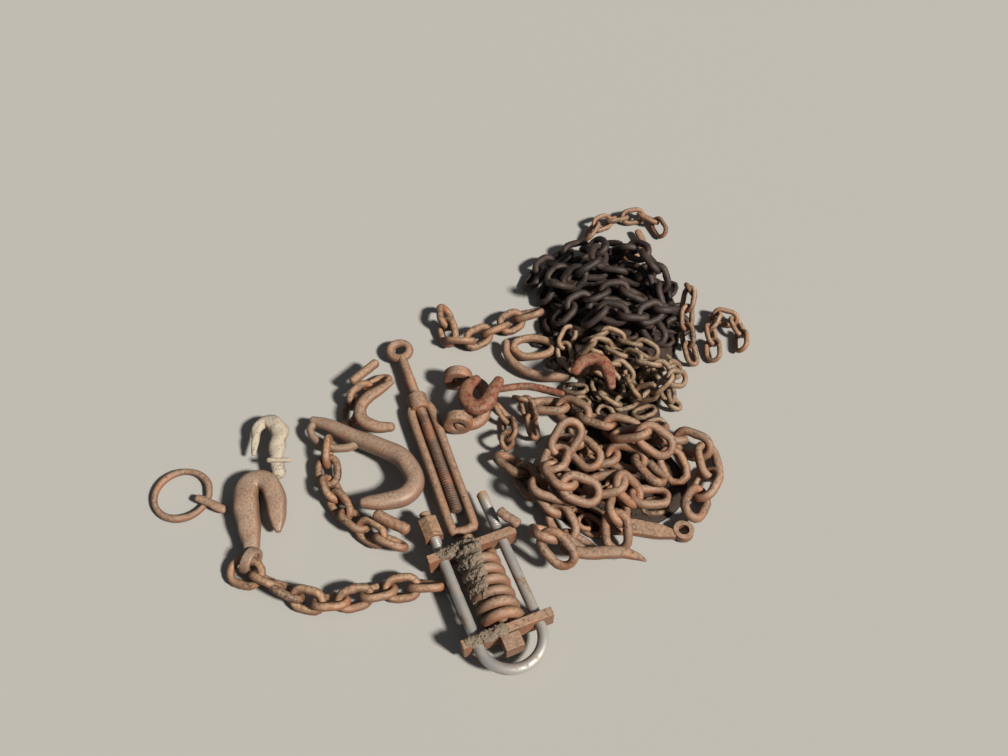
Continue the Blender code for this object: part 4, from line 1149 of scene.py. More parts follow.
class Ground:
    """The plan that everything is laid on, and where it lies in the frame."""

    def __init__(self) -> None:
        """Find the plan's origin from the ring whose place is known."""
        low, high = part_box("loose_ring")
        self.shift = np.array(((low.x + high.x) / 2 - RING_ON_PLAN[0] * MM,
                               (low.y + high.y) / 2 - RING_ON_PLAN[1] * MM, 0.0))
        self.laid = Bed()

    def at(self, x: float, y: float, z: float = 0.0) -> np.ndarray:
        """Give a place on the plan, in millimetres, as a point of the frame."""
        return np.array((x, y, z)) * MM + self.shift

    def lay(self, chains: list[Chain]) -> None:
        """Lay every length of chain as its solid was laid, in the same order.

        Args:
            chains: The lengths, whose links are set.
        """
        bed = Bed()
        by_name = {chain.name: chain for chain in chains}
        for name in ORDER:
            if name in by_name:
                by_name[name].lay(bed)
                self.match(by_name[name])
                found = [(link.balls(), link.size.ball_radius()) for link in by_name[name].links]
            else:
                found = [(surface_points(name) - self.shift, SURFACE_BALL)]
            for centres, radius in found:
                bed.add(centres, radius)
                if name != "core":
                    self.laid.add(centres, radius)
        for chain in chains:
            chain.move(self.shift)

    def match(self, chain: Chain) -> None:
        """Bring a laid length to its node's height, and report how well it fits.

        Args:
            chain: The length, whose links are moved straight up or down.
        """
        low, high = (np.array(corner) - self.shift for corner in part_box(chain.name))
        drawn = chain.surfaces().vertices()
        gaps = np.array([low - drawn.min(axis=0), high - drawn.max(axis=0)])
        rise = gaps[0, 2] if low[2] < ON_FLOOR else gaps[:, 2].mean()
        chain.move(np.array((0.0, 0.0, rise)))
        miss = np.abs(gaps[:, :2]).max() / MM
        LOG.info("%s: %d links, off its node by %.1f mm", chain.name, len(chain.links), miss)


# Pieces


@dataclass
class Heap:
    """What every sub-assembly needs: the ground and the slots of the nodes."""

    ground: Ground
    slots: dict

    def put(self, shape: Shape, node: str, finish: Finish | None = None,
            seated: bool = True) -> None:
        """Make a piece that stands for a node.

        Args:
            shape: The piece's surface.
            node: The node that it replaces.
            finish: Its finish, or none for the one that the node's slot names.
            seated: Whether it is brought to its node's height.
        """
        if seated:
            low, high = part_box(node)
            heights = shape.vertices()[:, 2]
            middle = (low.z + high.z - heights.min() - heights.max()) / 2
            rise = low.z - heights.min() if low.z < ON_FLOOR else middle
            shape.move(np.array((0.0, 0.0, rise)))
        finish = finish or Finish[self.slots[node].upper()]
        self.own(shape.finished(f"{node}_look", material_of(finish)), node)

    def own(self, piece: Object, node: str | None = None) -> None:
        """Tie a piece to the heap: it rides on it, and stands for its node if it has one.

        Args:
            piece: The piece.
            node: The node that it replaces.
        """
        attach(piece, "root")
        if node:
            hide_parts(node)
        lowest = vertex_places(piece.data)[:, 2].min() / MM
        LOG.info("%s: %d faces, lowest at %.2f mm", piece.name, len(piece.data.polygons), lowest)

    def stance(self, node: str, at: tuple, heading: float) -> tuple[np.ndarray, np.ndarray]:
        """Work out how a fitting lies: level, at its node's height.

        Args:
            node: The node whose height counts.
            at: The fitting's place on the plan, in millimetres.
            heading: How many degrees to the left its length is turned from the plan's up.

        Returns:
            The place, and across, along and up directions, one to a row.
        """
        turn = math.radians(heading)
        low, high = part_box(node)
        middle = self.ground.at(*at)
        middle[2] = (low.z + high.z) / 2
        axes = np.array(((math.cos(turn), math.sin(turn), 0.0),
                         (-math.sin(turn), math.cos(turn), 0.0), (0.0, 0.0, 1.0)))
        return middle, axes

    def machined(self, node: str, bevel: float) -> None:
        """Give a flat-sided node a copy with merged faces and worn edges.

        Args:
            node: The node that is copied and replaced.
            bevel: How far the edges are worn back, in metres.
        """
        shape = bmesh.new()
        shape.from_mesh(frame["nodes"][node].data)
        bmesh.ops.remove_doubles(shape, verts=shape.verts, dist=MERGED)
        bmesh.ops.dissolve_limit(shape, angle_limit=math.radians(FLAT_DEGREES), verts=shape.verts,
                                 edges=shape.edges)
        mesh = bpy.data.meshes.new(f"{node}_look")
        shape.to_mesh(mesh)
        shape.free()
        mesh.polygons.foreach_set("use_smooth", np.ones(len(mesh.polygons), bool))
        mesh.materials.clear()
        mesh.materials.append(material_of(Finish[self.slots[node].upper()]))
        piece = make_object(f"{node}_look", mesh)
        worn = piece.modifiers.new("worn edges", "BEVEL")
        worn.width = bevel
        worn.segments = EDGE_FACES
        worn.limit_method = "ANGLE"
        worn.angle_limit = math.radians(EDGE_DEGREES)
        piece.modifiers.new("flat faces", "WEIGHTED_NORMAL")
        self.own(piece, node)


@dataclass(frozen=True)
class BentBar:
    """A hook, rod or ring that is a single bent bar, by points of x, y, z and radius."""

    node: str
    points: list
    closed: bool = False
    flatten: float = 1.0
    squareness: float = 1.0
    rough: float = 0.03
    tip: float = 0.8             # how far each end is rounded, as a share of its radius
    steps: float = 2.5           # millimetres between rings
    sides: int = 16

    def add_to(self, shape: Shape, ground: Ground) -> None:
        """Carry the section along the smoothed points, and add the bar to a shape.

        Args:
            shape: What the bar is added to.
            ground: Where the plan lies.
        """
        points = np.array(self.points, float) * MM
        if self.closed:
            points = np.vstack([points, points[:1]])
        curve = smooth_route(points)
        length = lengths(curve[:, :3])[-1]
        curve = resample(curve, max(FEWEST_RINGS, round(length / (self.steps * MM))))
        if self.closed:
            curve = curve[:-1]
        path, radii = curve[:, :3] + ground.shift, curve[:, 3]
        if not self.closed:
            path, radii = round_ends(path, radii, self.tip)
        section = Section(self.flatten, self.squareness, self.sides, self.rough)
        grid, poles = sweep(path, radii, section, self.closed, self.node)
        shape.add_grid(grid, self.closed, poles)

    def build(self, heap: Heap) -> None:
        """Make the piece in its node's place.

        Args:
            heap: The heap that it belongs to.
        """
        shape = Shape()
        self.add_to(shape, heap.ground)
        heap.put(shape, self.node)


def level(points: Sequence, height: float) -> list[tuple]:
    """Give points of x, y and radius a height in millimetres."""
    return [(x, y, height, radius) for x, y, radius in points]


LOOSE_RING = [(RING_ON_PLAN[0] + RING_RADIUS * math.cos(a), RING_ON_PLAN[1] + RING_RADIUS * math.sin(a),
               5, 4.2 + 0.4 * math.sin(3 * a)) for a in np.radians(range(0, 360, 30))]

BARS = [
    BentBar("loose_ring", LOOSE_RING, closed=True, rough=0.05),
    BentBar("ring_bar", [(-318, -141, 8, 5), (-302, -148, 7, 5.5), (-286, -155, 5, 5.5)],
            flatten=0.6, rough=0.06),
    BentBar("muddy_hook",
            level([(-223, -112, 8.5), (-228, -96, 8.6), (-231, -74, 10.5), (-230, -54, 11),
                   (-238, -40, 10), (-251, -36, 7.6), (-259, -46, 6.3), (-259, -65, 5),
                   (-258, -84, 3)], 11), flatten=0.8, rough=0.09, squareness=0.85),
    BentBar("muddy_pin", level([(-236, -99, 3), (-224, -99, 3), (-210, -99, 3)], 5), rough=0.06),
    BentBar("rod_stub", level([(-97, -176, 7), (-80, -186, 7), (-64, -194, 7)], 8), rough=0.05),
    BentBar("crescent_hook",
            level([(-95, 19, 4), (-109, 6, 6.4), (-124, -7, 7.7), (-131, -24, 7.6), (-126, -41, 8.2),
                   (-110, -50, 8.1), (-90, -51, 6)], 10), flatten=0.8, squareness=0.85),
    BentBar("oblong_ring",
            level([(62, 88, 5.3), (66, 100, 5.4), (82, 107, 5.4), (100, 105, 5.4), (114, 96, 5.3),
                   (112, 84, 5.3), (98, 77, 5.3), (76, 76, 5.3)], 6), closed=True),
    BentBar("straight_rod", [(45, 27, 6, 4.6), (84, 31, 6, 4.8), (126, 19, 6, 4.5)]),
    BentBar("red_hook",
            level([(16, 16, 5.2), (4, 3, 8.5), (2, -16, 9.5), (15, -29, 10), (28, -22, 10),
                   (36, -3, 8.9), (44, 13, 6.4)], 12), flatten=0.8, squareness=0.8),
    BentBar("curved_rod",
            [(53, 97, 10, 4.7), (54, 78, 8, 5.3), (66, 60, 7, 5.9), (84, 47, 7, 6.3),
             (107, 41, 7, 6.3), (133, 41, 7, 5.8)]),
    BentBar("arc_hook",
            level([(140, 15, 6.4), (149, 29, 7.7), (164, 35, 8.4), (176, 27, 9), (182, 9, 7.7),
                   (184, -9, 5)], 12), flatten=0.75, squareness=0.8),
    BentBar("prong_bar",
            level([(118, -221, 5.8), (143, -226, 7.2), (164, -225, 7.4), (184, -225, 6.8),
                   (200, -230, 4.6), (210, -235, 1.7)], 8), flatten=0.8, squareness=0.8),
    BentBar("back_hook",
            level([(218, 276, 8), (232, 262, 9.5), (249, 272, 8), (253, 292, 5.5),
                   (248, 312, 5)], 8), flatten=0.6, squareness=0.75),
    BentBar("short_link", level([(-144, 22, 6), (-131, 36, 6), (-118, 50, 6)], 6)),
    BentBar("broken_bar", level([(45, -176, 6), (55, -184, 6), (66, -192, 6)], 6), flatten=0.7,
            rough=0.09, tip=0.4),
]


def eye_profile(hole: float, outside: float, width: float, round_over: float = 0.32) -> list[tuple]:
    """Give the profile of a forged eye: a square bar with rounded corners.

    Args:
        hole: Radius of the hole.
        outside: Radius of the eye.
        width: Length of the eye along its axis.
        round_over: Radius of the corners as a share of the width.

    Returns:
        Points of distance along the axis and radius, turning outwards.
    """
    corner = round_over * min(width, outside - hole)
    half = width / 2
    middles = [(half - corner, hole + corner, 270), (half - corner, outside - corner, 0),
               (-half + corner, outside - corner, 90), (-half + corner, hole + corner, 180)]
    angles = np.radians([0, 22.5, 45, 67.5, 90])
    points = []
    for along, radius, start in middles:
        for angle in np.radians(start) + angles:
            points.append((along + corner * math.cos(angle), radius + corner * math.sin(angle)))
    return points


@dataclass(frozen=True)
class LeftGrabHook:
    """The forged grab hook at the left end, with its eye round one side of the end link."""

    node: str = "left_grab_hook"
    eye_radius: float = 16.5
    eye_hole: float = 10.5
    eye_width: float = 12.0
    bar: tuple = (               # x, y and radius, from the middle of the eye
        (-1, 9, 7.5), (-3, 22, 10.0), (-9, 45, 13.0), (-16, 69, 14.8), (-19, 88, 14.3),
        (-16, 102, 13.0), (-4, 107, 12.4), (9, 99, 12.6), (17, 82, 12.4), (21, 64, 10.8),
        (24, 48, 7.3), (26, 40, 3.8),
    )
    section: Section = Section(0.94, 0.62, 20)
    rings: int = 70
    tip: float = 0.7             # how far each end is rounded, as a share of its radius

    def build(self, heap: Heap, end_link: Link) -> None:
        """Make the hook round the end link.

        Args:
            heap: The heap that it belongs to.
            end_link: The first link of the chain, which the eye is threaded on.
        """
        size = end_link.size
        side = end_link.centre + end_link.axes[1] * (size.inside + size.wire) / 2
        middle = np.array((side[0], side[1], self.eye_radius * MM + GAP))
        curve = resample(smooth_route(np.array(level(self.bar, 0.0)) * MM), self.rings)
        path, radii = round_ends(curve[:, :3] + middle, curve[:, 3], self.tip)
        grid, poles = sweep(path, radii, self.section, seed=self.node)
        shape = Shape()
        shape.add_grid(grid, False, poles)
        heading = end_link.axes[0] * (1.0, 1.0, 0.0)
        eye = eye_profile(self.eye_hole * MM, self.eye_radius * MM, self.eye_width * MM)
        shape.add_grid(turned(eye, middle, heading), True)
        heap.put(shape, self.node, seated=False)


@dataclass(frozen=True)
class BigHook:
    """The large slip hook with its drop-shaped eye."""

    node: str = "big_hook"
    bar: tuple = (               # x, y, z and radius
        (-191, -33, 18.5, 6.0), (-175, -39, 19, 8.2), (-155, -49, 20, 9.4), (-129, -63, 21, 10.6),
        (-97, -78, 23, 11.7), (-74, -94, 25, 12.3), (-60, -117, 27, 12.1), (-58, -135, 29, 12.0),
        (-69, -151, 32, 11.6), (-91, -159, 34.5, 10.0), (-108, -161, 36, 8.2), (-115, -162, 37, 6.0),
    )
    eye: tuple = (
        (-189, -36, 18.5, 5), (-193, -46, 18.5, 5), (-188, -58, 18.5, 5), (-176, -68, 18.5, 5),
        (-159, -74, 18.5, 5), (-142, -73, 19, 5.5), (-128, -66, 21, 6),
    )

    def build(self, heap: Heap) -> None:
        """Make the hook: its bar, and the thinner bar that closes its eye.

        Args:
            heap: The heap that it belongs to.
        """
        shape = Shape()
        hook = BentBar(self.node, list(self.bar), squareness=0.88, rough=0.025, sides=20, flatten=0.96)
        hook.add_to(shape, heap.ground)
        BentBar(self.node, list(self.eye)).add_to(shape, heap.ground)
        heap.put(shape, self.node, seated=False)


@dataclass(frozen=True)
class Turnbuckle:
    """The open turnbuckle: a loop of round bar with a collar, and the eye rod screwed in."""

    at: tuple = (-60.0, -3.0)
    heading: float = 19.0
    length: float = 194.0
    half_width: float = 13.6
    side: float = 5.9
    collar_radius: float = 13.2
    collar_length: float = 24.0
    rod_radius: float = 6.4
    rod_reach: float = 165.0
    ring_away: float = 92.0
    ring_radius: float = 12.8
    ring_wire: float = 5.8
    rod_room: float = 0.4        # between the rod and the collar's bore
    rod_tip: float = 0.4         # how far its ends are rounded, as a share of its radius
    thread_pitch: float = 3.4    # coarser than the real 2.1, so that it shows
    thread_depth: float = 0.95
    thread_rings: int = 6        # to each pitch
    thread_beyond: float = 40.0  # length of the thread that shows past the collar's middle
    greased: float = -2.0        # tone of the thread inside the body, darkened as painted shade
    grease_fade: float = 12.0    # length over which the painted shade ends, up to the collar
    loop_steps: int = 120
    ring_steps: int = 32

    def build_body(self, heap: Heap) -> None:
        """Make the body: the loop and the collar that the rod screws into.

        Args:
            heap: The heap that it belongs to.
        """
        middle, axes = heap.stance("turnbuckle_body", self.at, self.heading)
        half, end = self.half_width, self.length
        # The right side of the loop, from the collar to the far end
        right = [(0.7 * half, -6), (half, -20), (half, -end / 2), (half, -end + 0.8 * half),
                 (0.7 * half, -end + 2)]
        left = [(-x, y) for x, y in reversed(right)]
        points = np.array([(x, y, 0) for x, y in [(0, 0), *right, (0, -end), *left, (0, 0)]]) * MM
        curve = resample(smooth_route(points), self.loop_steps)[:-1]
        grid, _ = sweep(middle + curve @ axes, np.full(len(curve), self.side * MM), Section(),
                        closed=True, seed="turnbuckle loop")
        shape = Shape()
        shape.add_grid(grid, True)
        collar = eye_profile((self.rod_radius + self.rod_room) * MM, self.collar_radius * MM,
                             self.collar_length * MM, 0.3)
        shape.add_grid(turned(collar, middle, axes[1]), True)
        heap.put(shape, "turnbuckle_body", seated=False)

    def build_rod(self, heap: Heap) -> None:
        """Make the eye rod: its thread runs from the collar down into the body.

        Args:
            heap: The heap that it belongs to.
        """
        middle, axes = heap.stance("turnbuckle_eye_rod", self.at, self.heading)
        top, bottom = self.ring_away - self.ring_radius, -self.rod_reach
        rings = round((top - bottom) / self.thread_pitch * self.thread_rings)
        line = np.linspace(bottom, top, rings) * MM
        path, radii = round_ends(middle + line[:, None] * axes[1],
                                 np.full(rings, self.rod_radius * MM), self.rod_tip)
        stop = (self.rod_reach + self.thread_beyond) / (top - bottom)
        grid, poles = sweep(path, radii, Section(rough=0.015), seed="eye rod",
                            thread=(self.thread_pitch * MM, self.thread_depth * MM, 0.01, stop))
        # The thread inside the body is darkened with painted shade that fades out towards the collar
        beyond = np.linspace(bottom, top, len(grid)) + self.collar_length
        unstained_or_unshaded = np.clip(beyond / self.grease_fade, 0, 1)
        tones = np.append(np.repeat((1 - unstained_or_unshaded) * self.greased, grid.shape[1]), (self.greased, 0.0))
        shape = Shape()
        shape.add_grid(grid, False, poles, tones)
        angles = np.arange(self.ring_steps) * 2 * math.pi / self.ring_steps
        ring = np.column_stack([self.ring_radius * np.cos(angles),
                                self.ring_away + self.ring_radius * np.sin(angles),
                                np.zeros(self.ring_steps)]) * MM
        grid, _ = sweep(middle + ring @ axes, np.full(self.ring_steps, self.ring_wire * MM), Section(),
                        closed=True, seed="eye ring")
        shape.add_grid(grid, True)
        heap.put(shape, "turnbuckle_eye_rod", seated=False)

    def build(self, heap: Heap) -> None:
        """Make the body and the eye rod."""
        self.build_body(heap)
        self.build_rod(heap)


@dataclass(frozen=True)
class Clevis:
    """A clevis: a bow of round bar whose two eyes stand on edge."""

    node: str = "clevis"
    eyes: tuple = ((-10, 33), (-8, -37))
    eye_radius: float = 19.0
    eye_width: float = 15.0
    eye_hole: float = 7.5
    bow: tuple = ((-10, 33), (10, 32), (24, 20), (28, -2), (24, -24), (12, -36), (-8, -37))
    bow_lower: float = 6.0       # than the eyes' middles
    bar: float = 7.5
    eye_steps: int = 36

    def build(self, heap: Heap) -> None:
        """Make the bow and the two eyes as one piece.

        Args:
            heap: The heap that it belongs to.
        """
        shape = Shape()
        bow = [(x, y, self.eye_radius - self.bow_lower, self.bar) for x, y in self.bow]
        BentBar(self.node, bow).add_to(shape, heap.ground)
        profile = eye_profile(self.eye_hole * MM, self.eye_radius * MM, self.eye_width * MM, 0.3)
        for x, y in self.eyes:
            middle = heap.ground.at(x, y, self.eye_radius)
            shape.add_grid(turned(profile, middle, (0, 1, 0), self.eye_steps), True)
        heap.put(shape, self.node)


@dataclass(frozen=True)
class Shackle:
    """The spring shackle: U-bolt, two plates, coil spring, centre bolt and tall nut."""

    at: tuple = (34.0, -266.0)
    heading: float = 22.0
    leg_apart: float = 72.0
    leg_radius: float = 6.35
    leg_reach: float = 118.0
    plate_thick: float = 10.0
    spring_length: float = 98.0
    spring_outside: float = 50.0
    spring_height: float = 0.97  # its own weight has pressed it a little flat
    spring_bar: float = 12.2
    spring_turns: int = 6
    thread_pitch: float = 2.3    # a little coarser than the real 1.95, so that it shows
    thread_depth: float = 0.5
    thread_length: float = 50.0
    thread_rings: int = 4        # to each pitch
    rusted_length: float = 14.0  # of each leg's end, where the plating has gone
    bow_room: float = 1.0        # between the front plate and the start of the U-bolt's bow
    bow_steps: int = 40
    bolt_sides: int = 16
    spring_rings: int = 28       # to each turn
    spring_sides: int = 14

    def build_u_bolt(self, heap: Heap) -> None:
        """Make the U-bolt: two threaded legs joined by a half circle at the front.

        Args:
            heap: The heap that it belongs to.
        """
        middle, axes = heap.stance("spring", self.at, self.heading)
        half = self.leg_apart / 2
        front = self.spring_length / 2 + self.plate_thick + self.bow_room
        legs = np.arange(self.leg_reach, -front, -self.thread_pitch / self.thread_rings)
        angles = np.linspace(0, math.pi, self.bow_steps)
        bow = np.column_stack([half * np.cos(angles), -front - half * np.sin(angles)])
        right = np.column_stack([np.full(len(legs), half), legs])
        left = np.column_stack([np.full(len(legs), -half), legs])[::-1]
        line = np.vstack([right, bow, left])
        path = middle + np.column_stack([line, np.zeros(len(line))]) * MM @ axes
        grid, poles = sweep(path, np.full(len(path), self.leg_radius * MM),
                            Section(rough=0.008, sides=self.bolt_sides), seed="u bolt")
        along = lengths(path)
        away = np.minimum(along, along[-1] - along)
        turn = np.arange(self.bolt_sides) / self.bolt_sides
        cut = screw(away[:, None], turn, self.thread_pitch * MM, self.thread_depth * MM)
        cut = np.where(away[:, None] < self.thread_length * MM, cut, 0.0)
        outward = grid - path[:, None, :]
        outward /= np.linalg.norm(outward, axis=2)[:, :, None]
        rusted = np.exp(-((away / (self.rusted_length * MM))**2))
        rusted = np.append(np.repeat(rusted, self.bolt_sides), (1.0, 1.0))
        shape = Shape()
        shape.add_grid(grid + cut[:, :, None] * outward, False, poles, rubbed=rusted)
        heap.put(shape, "u_bolt", seated=False)

    def build_spring(self, heap: Heap) -> None:
        """Make the coil spring: a round bar along a helix about the shackle's length.

        Args:
            heap: The heap that it belongs to.
        """
        middle, axes = heap.stance("spring", self.at, self.heading)
        radius = (self.spring_outside - self.spring_bar) / 2
        end = self.spring_length / 2 - self.spring_bar / 2 - GAP / MM
        turn = np.linspace(0, self.spring_turns, self.spring_turns * self.spring_rings + 1)
        angles = turn * 2 * math.pi
        path = np.column_stack([radius * np.cos(angles), np.linspace(-end, end, len(turn)),
                                self.spring_height * radius * np.sin(angles)]) * MM
        grid, poles = sweep(path, np.full(len(path), self.spring_bar / 2 * MM),
                            Section(rough=0.05, sides=self.spring_sides), seed="spring", up=(0, 1, 0))
        shape = Shape()
        shape.add_grid(middle + grid @ axes, False, middle + poles @ axes)
        heap.put(shape, "spring", seated=False)

    def build(self, heap: Heap) -> None:
        """Make the whole shackle, its flat-sided pieces with edges worn by millimetres.

        Args:
            heap: The heap that it belongs to.
        """
        self.build_u_bolt(heap)
        self.build_spring(heap)
        for node, worn in (("rear_plate", 1.6), ("front_plate", 1.6), ("centre_bolt", 1.2),
                           ("tall_nut", 0.9)):
            heap.machined(node, worn * MM)


def crumb(at: np.ndarray, size: float, seed: str) -> tuple[np.ndarray, np.ndarray]:
    """Make one crumb: a squashed ball whose radius is uneven with seeded waves.

    Args:
        at: Its middle.
        size: Its mean radius.
        seed: What its shape is drawn from.

    Returns:
        Its grid and its two poles.
    """
    down = np.linspace(0, math.pi, CRUMB_RINGS + 2)[1:-1, None]
    turn = np.arange(CRUMB_SIDES)[None, :] / CRUMB_SIDES
    angle = -2 * math.pi * turn
    radius = size * (1 + CRUMB_UNEVEN * waves(down / (2 * math.pi), turn, seed, 3))
    grid = at + np.stack([radius * np.sin(down) * np.cos(angle), radius * np.sin(down) * np.sin(angle),
                          CRUMB_HEIGHT * radius * np.cos(down)], axis=2)
    return grid, at + np.array(((0, 0, CRUMB_HEIGHT * size), (0, 0, -CRUMB_HEIGHT * size)))


@dataclass(frozen=True)
class Underlay:
    """The low mound under the heap: rusty soil with the chain that lies buried in it."""

    node: str = "core"
    mounds: tuple = (            # middle x and y, half length, half width, height
        (180, -112, 96, 70, 6), (190, -12, 62, 76, 6), (196, 150, 98, 120, 22),
    )
    middle: tuple = (188.0, 30.0)
    rays: int = 120
    rings: int = 46
    innermost: float = 0.02      # share of a ray where the last ring lies
    furthest: float = 300.0      # how far along a ray the mound's edge is sought
    seek_steps: int = 601
    lowered: float = 0.8         # the mound's height against the solid's
    uneven: float = 1.6          # millimetres
    over_floor: float = 0.02     # height of its underside
    crumbs: int = 3600
    crumb_size: tuple = (0.5, 1.5)       # least radius, and the most that is added to it
    crumb_tones: tuple = (-1, 3)
    area: tuple = (84.0, 294.0, -182.0, 270.0)    # from and to across and up the plan
    zones: tuple = (             # name, where it starts up the plan, its own links, their finish
        ("front", -400.0, Size.LARGE, Finish.RUST), ("middle", -40.0, Size.SMALL, Finish.DIRTY_RUST),
        # the back zone's buried links are finished nearly black, as painted shade
        ("back", 75.0, Size.SHADED, Finish.DARK_RUST),
    )
    tries: int = 8000
    shallowest: float = 1.0      # least height of the mound under a buried link
    slope: float = 0.25          # the most that a buried link rises or falls
    lean: float = 0.5            # the most that it rolls, in radians
    sunk: tuple = (-0.1, 0.35)   # height of its middle over the mound, from and to, in wires
    lowest: float = 0.2          # height that none of it lies below
    # tones of the buried links lean dark: painted shade for links low in the heap
    link_tones: tuple = (-1, 0.4)
    crowding: float = 1.6        # millimetres that a buried link may press into what lies over it

    def height(self, x: np.ndarray, y: np.ndarray) -> np.ndarray:
        """Give the mound's height over the plan: the highest of the half ellipsoids.

        Args:
            x: Places across the plan in millimetres.
            y: Places up it.

        Returns:
            Heights in millimetres, nothing outside the mounds.
        """
        tallest = np.zeros(np.broadcast(x, y).shape)
        for at_x, at_y, length, width, height in self.mounds:
            inside = 1 - ((x - at_x) / length)**2 - ((y - at_y) / width)**2
            tallest = np.maximum(tallest, height * np.sqrt(np.maximum(inside, 0.0)))
        return tallest

    def build(self, heap: Heap) -> None:
        """Make the mound from rays about its middle, each as long as the mound reaches.

        Its height is lowered and uneven by half of sin(x / 3.1 + 1.3 sin(y / 5.3)) plus
        sin(y / 2.7 + 1.7 sin(x / 4.1)), in millimetres, less near the outer end of each ray.

        Args:
            heap: The heap that it belongs to.
        """
        angles = np.arange(self.rays) * 2 * math.pi / self.rays
        tries = np.linspace(0, self.furthest, self.seek_steps)[:, None]
        x = self.middle[0] + tries * np.cos(angles)
        y = self.middle[1] + tries * np.sin(angles)
        reach = np.where(self.height(x, y) > 0, tries, 0.0).max(axis=0)
        share = np.linspace(1, self.innermost, self.rings)[:, None]
        x = self.middle[0] + share * reach * np.cos(angles)
        y = self.middle[1] + share * reach * np.sin(angles)
        bumps = (np.sin(x / 3.1 + 1.3 * np.sin(y / 5.3)) + np.sin(y / 2.7 + 1.7 * np.sin(x / 4.1))) / 2
        z = self.height(x, y) * self.lowered + self.uneven * bumps * np.minimum(1, (1 - share) * 12)
        z = np.maximum(z, 0.0) * (share < 1)
        grid = np.stack([x, y, z + self.over_floor], axis=2) * MM + heap.ground.shift
        foot = grid[0].mean(axis=0)
        top = heap.ground.at(*self.middle, self.height(*map(np.array, self.middle)) * self.lowered)
        shape = Shape()
        shape.add_grid(grid[:, ::-1], False, np.array([foot, top]))
        self.scatter(heap, shape)
        # The mound's near-black soil is partly painted shade in the gaps between the lengths
        heap.put(shape, self.node, Finish.SOIL, seated=False)
        self.bury(heap)

    def scatter(self, heap: Heap, shape: Shape) -> None:
        """Strew crumbs of earth and flakes of rust over the mound.

        Args:
            heap: The heap that they belong to.
            shape: The mound, which they become part of.
        """
        draw = random.Random("soil crumbs")
        for k in range(self.crumbs):
            x, y = draw.uniform(*self.area[:2]), draw.uniform(*self.area[2:])
            size = self.crumb_size[0] + self.crumb_size[1] * draw.random()**2
            deep = float(self.height(np.array(x), np.array(y))) * self.lowered
            if deep < size:
                continue
            grid, poles = crumb(heap.ground.at(x, y, deep), size * MM, f"soil {k}")
            shape.add_grid(grid, False, poles, draw.uniform(*self.crumb_tones))

    def bury(self, heap: Heap) -> None:
        """Fill the room between the lengths of chain with links half buried in the mound.

        Args:
            heap: The heap, whose laid pieces leave the room.
        """
        draw = random.Random("buried links")
        shapes = [Shape() for _ in self.zones]
        for _ in range(self.tries):
            x, y = draw.uniform(*self.area[:2]), draw.uniform(*self.area[2:])
            heading, slope = draw.uniform(0, math.pi), draw.uniform(-self.slope, self.slope)
            roll, sunk = draw.uniform(-self.lean, self.lean), draw.uniform(*self.sunk)
            deep = float(self.height(np.array(x), np.array(y)))
            if deep < self.shallowest:
                continue
            k = max(k for k, zone in enumerate(self.zones) if y > zone[1])
            size = draw.choice([Size.SMALL, self.zones[k][2]]).value
            way = np.array((math.cos(heading), math.sin(heading), slope)) * size.pitch / 2
            centre = np.array((x, y, deep * self.lowered)) * MM
            centre[2] += sunk * size.wire
            link = Link(size.coarse(), centre, link_axes(centre - way, centre + way, roll))
            under = size.ball_radius() + GAP - link.balls()[:, 2].min()
            link.centre[2] += max(under - self.crowding * MM, 0.0)
            if heap.ground.laid.press(link.balls(), size.wire / 2) > self.crowding * MM:
                continue
            heap.ground.laid.add(link.balls(), size.wire / 2)
            link.centre = link.centre + heap.ground.shift
            link.draw(shapes[k], f"buried {shapes[k].count}", draw.uniform(*self.link_tones),
                      self.lowest * MM)
        for (zone, _, _, finish), shape in zip(self.zones, shapes):
            piece = shape.finished(f"buried_links_{zone}", material_of(finish))
            heap.own(piece)


